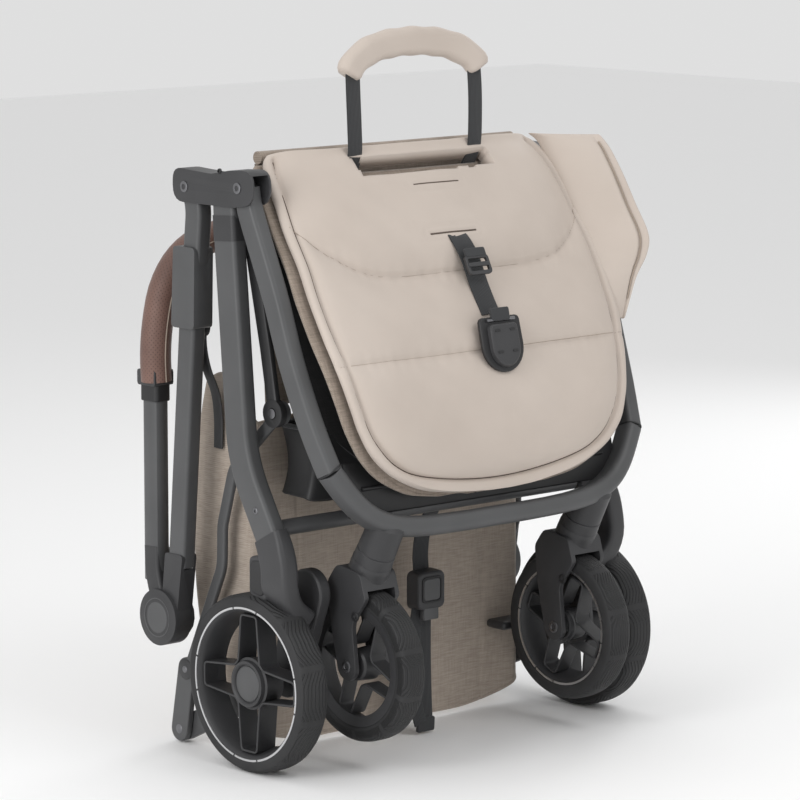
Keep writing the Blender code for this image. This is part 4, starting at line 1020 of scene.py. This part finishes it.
# the slider: a three-bar frame the webbing runs through
SL = (9.0, -66.5, 489.0)
place("vis_strap_slider", slab_with_hole(rect(31, 21, 4), rect(25, 13, 2), -1.8, 1.8, SL, -27), M_PLASTIC, "seat", ("strap_slider",), 0.6)
place("slider_bar", slab_xz(rect(28, 4.4, 1.5), -2.6, 1.0, SL, -27), M_PLASTIC, "seat", (), 0.6)
place("slider_top_band", slab_xz(rect(27, 9, 2, 0, 13), -2.4, 0.2, SL, -27), M_WEBBING, "seat", (), 0.5)

# the buckle: a dark ring behind, a round-bottomed cover in front
BU = (14.0, -97.0, 415.0)


def dee(w, top, mid, low):
    """A flat-topped, round-bottomed outline in (x, z)."""
    pts = [(-w * math.cos(math.pi * k / 18), mid - (mid - low) * math.sin(math.pi * k / 18)) for k in range(19)]
    return pts + [(w * 0.98, top - 4), (w * 0.92, top - 1), (w * 0.80, top), (-w * 0.80, top), (-w * 0.92, top - 1), (-w * 0.98, top - 4)]


ring_out = dee(27.5, 25, -4, -31)
place("buckle_back", slab_xz(ring_out, -1.0, 4.0, BU, -14), M_BLACK, "seat", (), 1.4)
cover = dee(19.5, 18, -6, -27)
place("vis_buckle", slab_xz(cover, 1.0, -6.2, BU, -14, 0.94), M_PLASTIC, "seat", ("buckle",), 1.5)
for i, (x, z) in enumerate(((-10, 10.5), (10, 10.5), (-10, -11), (10, -11))):
    place(f"buckle_mark_{i}", slab_xz(rect(7, 2.6, 1.0, x, z, 3), -6.0, -6.9, BU, -14), M_BLACK, "seat", (), 0.3)
place("buckle_bar", sweep([tilted(-19, -1.5, 21.5, BU, -14), tilted(19, -1.5, 21.5, BU, -14)], ring_section(1.9, 12), (0, 0, 1)), M_STEEL, "seat")
place("buckle_loop", slab_xz(rect(25, 13, 2, 0, 27), -3.4, -0.6, BU, -14), M_WEBBING, "seat", (), 0.6)


# ------------------------------------------------------------------ soft panels
def cloth_sheet(nu, nv, point, thick):
    """A closed thin sheet over u, v in 0-1."""
    G = np.array([[point(i / nu, j / nv) for i in range(nu + 1)] for j in range(nv + 1)], float)
    N = np.cross(np.gradient(G, axis=1), np.gradient(G, axis=0))
    N /= np.maximum(1e-9, np.linalg.norm(N, axis=2, keepdims=True))
    A, B = G + N * thick / 2, G - N * thick / 2
    bm = bmesh.new()
    a = [[bm.verts.new(at(*A[j, i])) for i in range(nu + 1)] for j in range(nv + 1)]
    b = [[bm.verts.new(at(*B[j, i])) for i in range(nu + 1)] for j in range(nv + 1)]
    for j in range(nv):
        for i in range(nu):
            bm.faces.new((a[j][i], a[j][i + 1], a[j + 1][i + 1], a[j + 1][i]))
            bm.faces.new((b[j + 1][i], b[j + 1][i + 1], b[j][i + 1], b[j][i]))
    edge = [(0, i) for i in range(nu + 1)] + [(j, nu) for j in range(1, nv + 1)] + [(nv, i) for i in range(nu - 1, -1, -1)] \
        + [(j, 0) for j in range(nv - 1, 0, -1)]
    for k, (j, i) in enumerate(edge):
        j1, i1 = edge[(k + 1) % len(edge)]
        bm.faces.new((a[j][i], a[j1][i1], b[j1][i1], b[j][i]))
    return from_bm(bm)


# the canopy, let down behind the legs: one sheet, curved at its lower corners
def hem_z(x):
    t = min(1.0, max(0.0, (abs(x) - 100) / 88))
    return 7 + 92 * (1 - math.sqrt(max(0.0, 1 - t * t)))


def canopy_point(u, v):
    """Flat across the back of the wheels, then turned back along the push tubes at each side."""
    HALF, FLAP = 176.0, 95.0
    t = (2 * u - 1) * (HALF + FLAP)
    a = abs(t)
    side = math.copysign(1.0, t)
    bend = 14.0
    if a < HALF - 4:
        x, y0 = a, 0.0
    else:
        q = a - (HALF - 4)
        k = min(1.0, q / (bend * 1.57))
        x = HALF - 4 + bend * 0.82 * math.sin(k * math.pi / 2)
        y0 = bend * (1 - math.cos(k * math.pi / 2)) * 0.82 + max(0.0, q - bend * 1.57)
    # how far back the flap reaches at this height, as a share of the way out
    z1 = 344 - 8 * (min(a, HALF) / HALF) ** 2 + 46 * math.sin(min(1.0, max(0.0, (a - HALF) / FLAP)) * math.pi * 0.72)
    z0 = 7 + 60 * (1 - math.sqrt(max(0.0, 1 - min(1.0, max(0.0, (a - 92) / (HALF + FLAP - 92))) ** 2 * 0.96))) * 2.1
    z = z1 + (z0 - z1) * v
    reach = 0.55 + 0.45 * math.sin(math.pi * min(1.0, max(0.0, (z - 20) / 400))) ** 0.7
    y = 55.5 + y0 * reach
    flat = 1.0 if a < HALF else max(0.0, 1 - (a - HALF) / 30)
    x *= side
    wave = 2.6 * math.sin(x / 47 + z / 130) * math.sin(math.pi * v) + 1.3 * math.sin(x / 17 + math.sin(z / 60)) * (0.35 + 0.65 * v) ** 2
    wave -= 4.0 * (1 - min(1, a / HALF)) ** 0.5 * math.sin(math.pi * min(1, v))
    y += wave * flat
    x += side * (1 - flat) * (1.5 * math.sin(z / 31 + y / 23) * math.sin(y / 14))
    y += 0.8 * math.exp(-((z - z0 - 15) / 1.6) ** 2) * flat
    y += 0.9 * math.exp(-((a - 128) / 2.0) ** 2)
    return (x, y, z)


canopy = add("vis_canopy", cloth_sheet(210, 96, canopy_point, 2.2), M_CANOPY, None, sharp=0)
finish_piece(canopy, "canopy", ("canopy",))
hem_line = []
for k in range(0, 161):
    p = canopy_point(k / 160, 1.0)
    hem_line.append(p)
hem = place("canopy_hem", sweep(hem_line, ring_section(1.9, 10), (0, 1, 0)), M_CANOPY, "canopy")


# the canopy's arms, from their pivots on the push tubes down to the cloth
for side, s in SIDES:
    path = spline([(s * 211.5, 97, 438), (s * 211.5, 97, 412), (s * 206, 97, 388), (s * 194, 98, 362), (s * 189.5, 99, 335), (s * 189, 100, 306)], 6)
    place(f"canopy_arm_{side}", sweep(path, rr(13, 2.6, 1.1, 4), (0, 1, 0)), M_PLASTIC, "canopy")
    turned_x(f"canopy_pivot_{side}", (s * 211.5, 97, 430), [(s * 3, 0), (s * 3, 9), (-s * 2.5, 9.6), (-s * 3.4, 8.2), (-s * 3.4, 0)], M_PLASTIC, "canopy", 40)

# the basket: a slung tub, its rim drawn up by a binding
def tub_point(u, v):
    a = 2 * math.pi * u
    c, s_ = math.cos(a), math.sin(a)
    ex = 0.22
    px, py = math.copysign(abs(c) ** ex, c), math.copysign(abs(s_) ** ex, s_)
    f = 1.0 if v < 0.62 else math.cos((v - 0.62) / 0.38 * math.pi / 2) ** 0.5
    depth = 72 * (min(1.0, v / 0.62) ** 0.9)
    z = 338 - depth * (1 - 0.04 * math.sin(a * 3)) + (2.5 * math.cos(v * 9) * 0.3)
    k = 1 - 0.05 * math.sin(math.pi * min(1, v / 0.7))
    y = 4 + 26.5 * py * f * k + 1.4 * math.sin(px * 8 + v * 5)
    x = 174 * px * f * k
    return (x, y, z + 1.4 * math.sin(x / 22 + v * 6))


nu, nv = 120, 26
bm = bmesh.new()
g = [[bm.verts.new(at(*tub_point(i / nu, j / nv * 0.985))) for i in range(nu)] for j in range(nv + 1)]
for j in range(nv):
    for i in range(nu):
        bm.faces.new((g[j][i], g[j][(i + 1) % nu], g[j + 1][(i + 1) % nu], g[j + 1][i]))
bm.faces.new(g[nv])
tub = add("vis_basket", from_bm(bm), M_BLACK, None, sharp=0)
sol = tub.modifiers.new("cloth", "SOLIDIFY")
sol.thickness = 0.0018
finish_piece(tub, "rear_frame", ("basket",))
rim = place("basket_binding", sweep([tub_point(i / nu, 0) for i in range(nu + 1)], ring_section(2.6, 10), (0, 0, 1)), M_WEBBING, "rear_frame")


# the seat back's panel, seen through the gaps and from behind
def back_panel(w, h, t, centre, tilt, nx, nz):
    bm = bmesh.new()
    F, Bk = [], []
    for j in range(nz + 1):
        v = 2 * j / nz - 1
        f, b = [], []
        for i in range(nx + 1):
            u = 2 * i / nx - 1
            e = (1 - abs(u) ** 8) ** 0.5 * (1 - abs(v) ** 8) ** 0.5
            q = 1.0 - 0.65 * math.exp(-((abs(v * h / 2) - 34) / 3.0) ** 2) - 0.5 * math.exp(-((abs(u * w / 2) - w * 0.36) / 3.0) ** 2)
            x, z = u * w / 2, v * h / 2
            ty = 0.6 * math.sin(x / 19 + z / 33) * math.sin(z / 27 + 1)
            f.append(bm.verts.new(at(*tilted(x, -t / 2 * e * (0.75 + 0.25 * q) - ty * e * 0.6, z, centre, tilt))))
            b.append(bm.verts.new(at(*tilted(x, t / 2 * e * (0.55 + 0.45 * q) + ty * e, z, centre, tilt))))
        F.append(f)
        Bk.append(b)
    for j in range(nz):
        for i in range(nx):
            bm.faces.new((F[j][i], F[j][i + 1], F[j + 1][i + 1], F[j + 1][i]))
            bm.faces.new((Bk[j + 1][i], Bk[j + 1][i + 1], Bk[j][i + 1], Bk[j][i]))
    bmesh.ops.remove_doubles(bm, verts=bm.verts, dist=1e-6)
    return from_bm(bm)


back = add("vis_seat_back", back_panel(350, 240, 11, (0, 51.5, 472.5), -3.5, 90, 64), M_WOVEN, None, sharp=0)
roll = add("seat_back_roll", sweep([(-172, 58, 598), (0, 57, 598), (172, 58, 598)], ring_section(6.5, 20), (0, 1, 0)), M_WOVEN, None, sharp=60)
finish_piece(back, "seat_back", ("seat_back",))
finish_piece(roll, "seat_back")

# ------------------------------------------------------------------ recline strap and its clamp
CL = (0.0, 0.0, 152.0)
path = spline([(0, -10, 236), (0, 3, 214), (0, 8, 190), (0, 7, 170), (0, 4, 130), (1, 5, 90), (3, 6, 45), (4, 5, 6)], 6)
place("vis_recline_webbing", sweep(path, rr(21, 2.0, 0.9, 3), (1, 0, 0)), M_WEBBING, "rear_frame", ("recline_webbing",))
path = spline([(-7, 2.5, 140), (-11, 2.6, 118), (-13, 2.8, 95), (-12, 3.2, 60), (-9, 3.5, 30), (-4, 3, 12)], 6)
place("recline_webbing_loop", sweep(path, rr(17, 1.8, 0.8, 3), (1, 0, 0)), M_WEBBING, "rear_frame")
place("webbing_end", slab_xz(rect(23, 15, 2), -1.8, 1.8, (4, 4.5, 10), 4), M_WEBBING, "rear_frame", (), 0.6)
place("vis_recline_clamp", slab_xz(rect(38, 40, 7), 9, -9.5, CL, 0, 0.96), M_PLASTIC, "rear_frame", ("recline_clamp",), 2.0)
place("clamp_lip", slab_with_hole(rect(27, 27, 5, 0, 1), rect(23, 23, 4, 0, 1), -9, -10.6, CL, 0), M_BLACK, "rear_frame", (), 0.5)
place("clamp_face", slab_xz(rect(22, 22, 4, 0, 1), -9, -10.1, CL, 0), M_FRAME, "rear_frame", (), 0.5)

# ------------------------------------------------------------------ brace rods, bent round the basket, with flat eyes
for side, s in SIDES:
    X = s * 202.6
    path = fillet([(X, 139, 62), (X, 79, 190), (X, 78, 232), (X, 60, 292), (X, -6, 352)], [46, 40, 40], 6)
    place(f"brace_rod_bar_{side}", sweep(path, rr(6.6, 13.0, 2.8, 5), (1, 0, 0)), M_FRAME, f"brace_{side}", (f"brace_rod_{side}",))
    place(f"brace_rod_foot_{side}", prism(capsule((145, 14), (134, 77.5), 12.5, 12.0), X - 3.4, X + 3.4), M_FRAME, f"brace_{side}", (), 1.0)
    place(f"brace_rod_eye_{side}", prism(capsule((-12, 356), (-11, 355), 11.5, 11.5), X - 3.5, X + 3.5), M_FRAME, f"brace_{side}", (), 1.0)
    turned_x(f"brace_foot_disc_{side}", (s * 206.0, 134, 77.5), [(s * 1.2, 0), (s * 1.2, 9.6), (s * 0.4, 10.8), (-s * 1.0, 10.8), (-s * 1.0, 0)],
             M_PLASTIC, f"brace_{side}", 40)
    turned_x(f"brace_foot_pin_{side}", (s * 207.0, 134, 77.5), [(s * 1.0, 0), (s * 0.8, 2.6), (0, 3.8), (-s * 1.0, 3.8), (-s * 1.0, 0)],
             M_STEEL, f"brace_{side}", 28)
    turned_x(f"brace_low_pin_{side}", (s * 206.0, 145, 14), [(s * 1.0, 0), (s * 0.8, 3.4), (0, 4.8), (-s * 1.0, 4.8), (-s * 1.0, 0)],
             M_STEEL, f"brace_{side}", 28)

# the tube end that reaches the knob
for side, s in SIDES:
    path = spline([(s * 226, 153.5, 205), (s * 226, 152.5, 180), (s * 226, 147, 160), (s * 226, 141, 148)], 6)
    place(f"handle_end_{side}", sweep(path, [(a * 1.03, b * 0.9) for a, b in FRAME_SEC], (1, 0, 0)), M_PLASTIC, "handle")

# ------------------------------------------------------------------ screws, caps and small details on the hard parts
def screw(name, x, y, z, face, r, body, mat=None, deep=1.2):
    """A round head standing a little off a face that looks along X, with a socket in it."""
    prof = [(0, 0), (0, r * 0.42), (face * deep * 0.9, r * 0.5), (face * deep, r * 0.78), (face * deep * 0.6, r * 0.96), (-face * 1.0, r), (-face * 1.0, 0)]
    return turned_x(name, (x, y, z), prof, mat or M_STEEL, body, 28, 50)


def outer(node, s):
    lo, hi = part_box(node)
    return (hi.x if s > 0 else lo.x) * 1000


for side, s in SIDES:
    X = outer(f"hub_bracket_{side}", s)
    screw(f"hub_screw_front_{side}", X - s * 0.6, 12.1, 575.6, s, 5.6, "rear_frame")
    screw(f"hub_screw_push_{side}", X - s * 0.6, 92.6, 571.5, s, 5.6, "rear_frame")
    screw(f"hub_screw_rear_{side}", X - s * 0.6, 38.5, 590.5, s, 2.6, "rear_frame", M_BLACK)
    X = outer(f"knob_{side}", s)
    prof = [(s * 0.2, 0), (s * 0.2, 15.5), (-s * 0.8, 16.6), (-s * 0.8, 18.0), (s * 0.35, 19.2), (s * 0.35, 20.0), (-s * 1.6, 20.2), (-s * 1.6, 0)]
    turned_x(f"knob_disc_{side}", (X, 137, 135), prof, M_FRAME, "push_frame", 64)
    screw(f"leg_rivet_{side}", s * 233.2, -9, 262, s, 3.4, "rear_frame")
    X = outer(f"rear_housing_{side}", s)

for side, s in SIDES:
    name = f"caster_fork_{side}"
    lo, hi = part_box(name)
    for face, X in ((1, hi.x * 1000), (-1, lo.x * 1000)):
        screw(f"fork_screw_axle_{side}_{face}", X - face * 0.5, -64.7, 106.2, face, 6.2, f"caster_{side}")
        screw(f"fork_screw_upper_{side}_{face}", X - face * 0.5, -77, 158, face, 5.0, f"caster_{side}", M_BLACK)

for side, s in SIDES:
    for j, (y, z) in enumerate(((20, 72), (145, 14))):
        lo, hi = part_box(f"brace_link_{side}")
        X = (hi.x if s > 0 else lo.x) * 1000
        screw(f"link_screw_{side}_{j}", X - s * 0.4, y, z, s, 6.0 if j == 0 else 5.0, f"link_{side}")

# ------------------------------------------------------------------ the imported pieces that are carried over, with eased edges
BY_NAME = (("hub_bracket", M_PLASTIC, 1.6), ("rear_housing", M_PLASTIC, 1.4), ("caster_socket", M_PLASTIC, 1.4), ("caster_fork", M_PLASTIC, 1.2),
           ("knob", M_PLASTIC, 1.6), ("clip_cover", M_FRAME, 1.6), ("grip_collar", M_PLASTIC, 1.4), ("fold_button", M_BLACK, 0.5),
           ("footrest_plate", M_BLACK, 1.2), ("brake_pedal", M_PLASTIC, 1.6), ("clamp_tab", M_FRAME, 0.8), ("seat_pivot_pin", M_STEEL, 0.5),
           ("handle_tube", M_FRAME, 1.2), ("seat_rail", M_BLACK, 0.8), ("brace", M_FRAME, 0.8), ("rear_crossbar", M_FRAME, 0.6))
SHOWN = {}
for name, obj in NODES.items():
    if obj.hide_render or obj.get("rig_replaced"):
        continue
    for prefix, mat, width in BY_NAME:
        if name.startswith(prefix):
            SHOWN[name] = (mat, width)
            break
    else:
        SHOWN[name] = (M_PLASTIC, 0.8)
for name, (mat, width) in SHOWN.items():
    obj = NODES[name]
    obj.data.materials.clear()
    obj.data.materials.append(mat)
    for a in [a.name for a in obj.data.attributes if a.name == "custom_normal"]:
        obj.data.attributes.remove(obj.data.attributes[a])
    obj.data.polygons.foreach_set("use_smooth", [True] * len(obj.data.polygons))
    w = obj.modifiers.new("weld", "WELD")
    w.merge_threshold = 0.00002
    b = obj.modifiers.new("eased", "BEVEL")
    b.width = width / 1000
    b.segments = 3
    b.limit_method = "ANGLE"
    b.angle_limit = math.radians(38)
    b.harden_normals = False
    e = obj.modifiers.new("crisp", "EDGE_SPLIT")
    e.split_angle = math.radians(42)

# ------------------------------------------------------------------ floor, light and camera
bpy.ops.mesh.primitive_plane_add(size=14, location=(0, 0, 0))
floor = bpy.context.object
floor.name = "floor"
m = bpy.data.materials.new("floor_pale")
m.use_nodes = True
m.node_tree.nodes["Principled BSDF"].inputs["Base Color"].default_value = (0.93, 0.93, 0.93, 1)
m.node_tree.nodes["Principled BSDF"].inputs["Roughness"].default_value = 0.7
floor.data.materials.append(m)

world = bpy.data.worlds.new("studio")
scene.world = world
scene.view_settings.view_transform = "Standard"
world.use_nodes = True
world.node_tree.nodes["Background"].inputs["Color"].default_value = (1.0, 1.0, 1.0, 1)
world.node_tree.nodes["Background"].inputs["Strength"].default_value = 0.74


def light(name, loc, target, size, power):
    data = bpy.data.lights.new(name, "AREA")
    data.shape = "RECTANGLE"
    data.size, data.size_y = size
    data.energy = power
    o = bpy.data.objects.new(name, data)
    scene.collection.objects.link(o)
    o.location = loc
    o.rotation_euler = (Vector(target) - Vector(loc)).to_track_quat("-Z", "Y").to_euler()
    return o


light("key", (0.2, -1.9, 2.2), (0, 0, 0.35), (1.3, 1.3), 14)
light("left_strip", (-2.2, -0.4, 1.1), (0, 0, 0.35), (0.9, 1.8), 22)
light("right_strip", (2.0, 0.8, 1.3), (0, 0, 0.4), (0.6, 1.8), 7)
light("top", (0, 0.6, 2.4), (0, 0, 0.4), (1.6, 1.0), 4)

cam_data = bpy.data.cameras.new("camera")
cam_data.lens = 184.59
cam_data.sensor_width = 36
cam_data.clip_end = 50
cam = bpy.data.objects.new("camera", cam_data)
scene.collection.objects.link(cam)
cam.location = (-2.7738, -3.0227, 0.9686)
cam.rotation_euler = (math.radians(90 - 8.646), 0, math.radians(-42.306))
scene.camera = cam

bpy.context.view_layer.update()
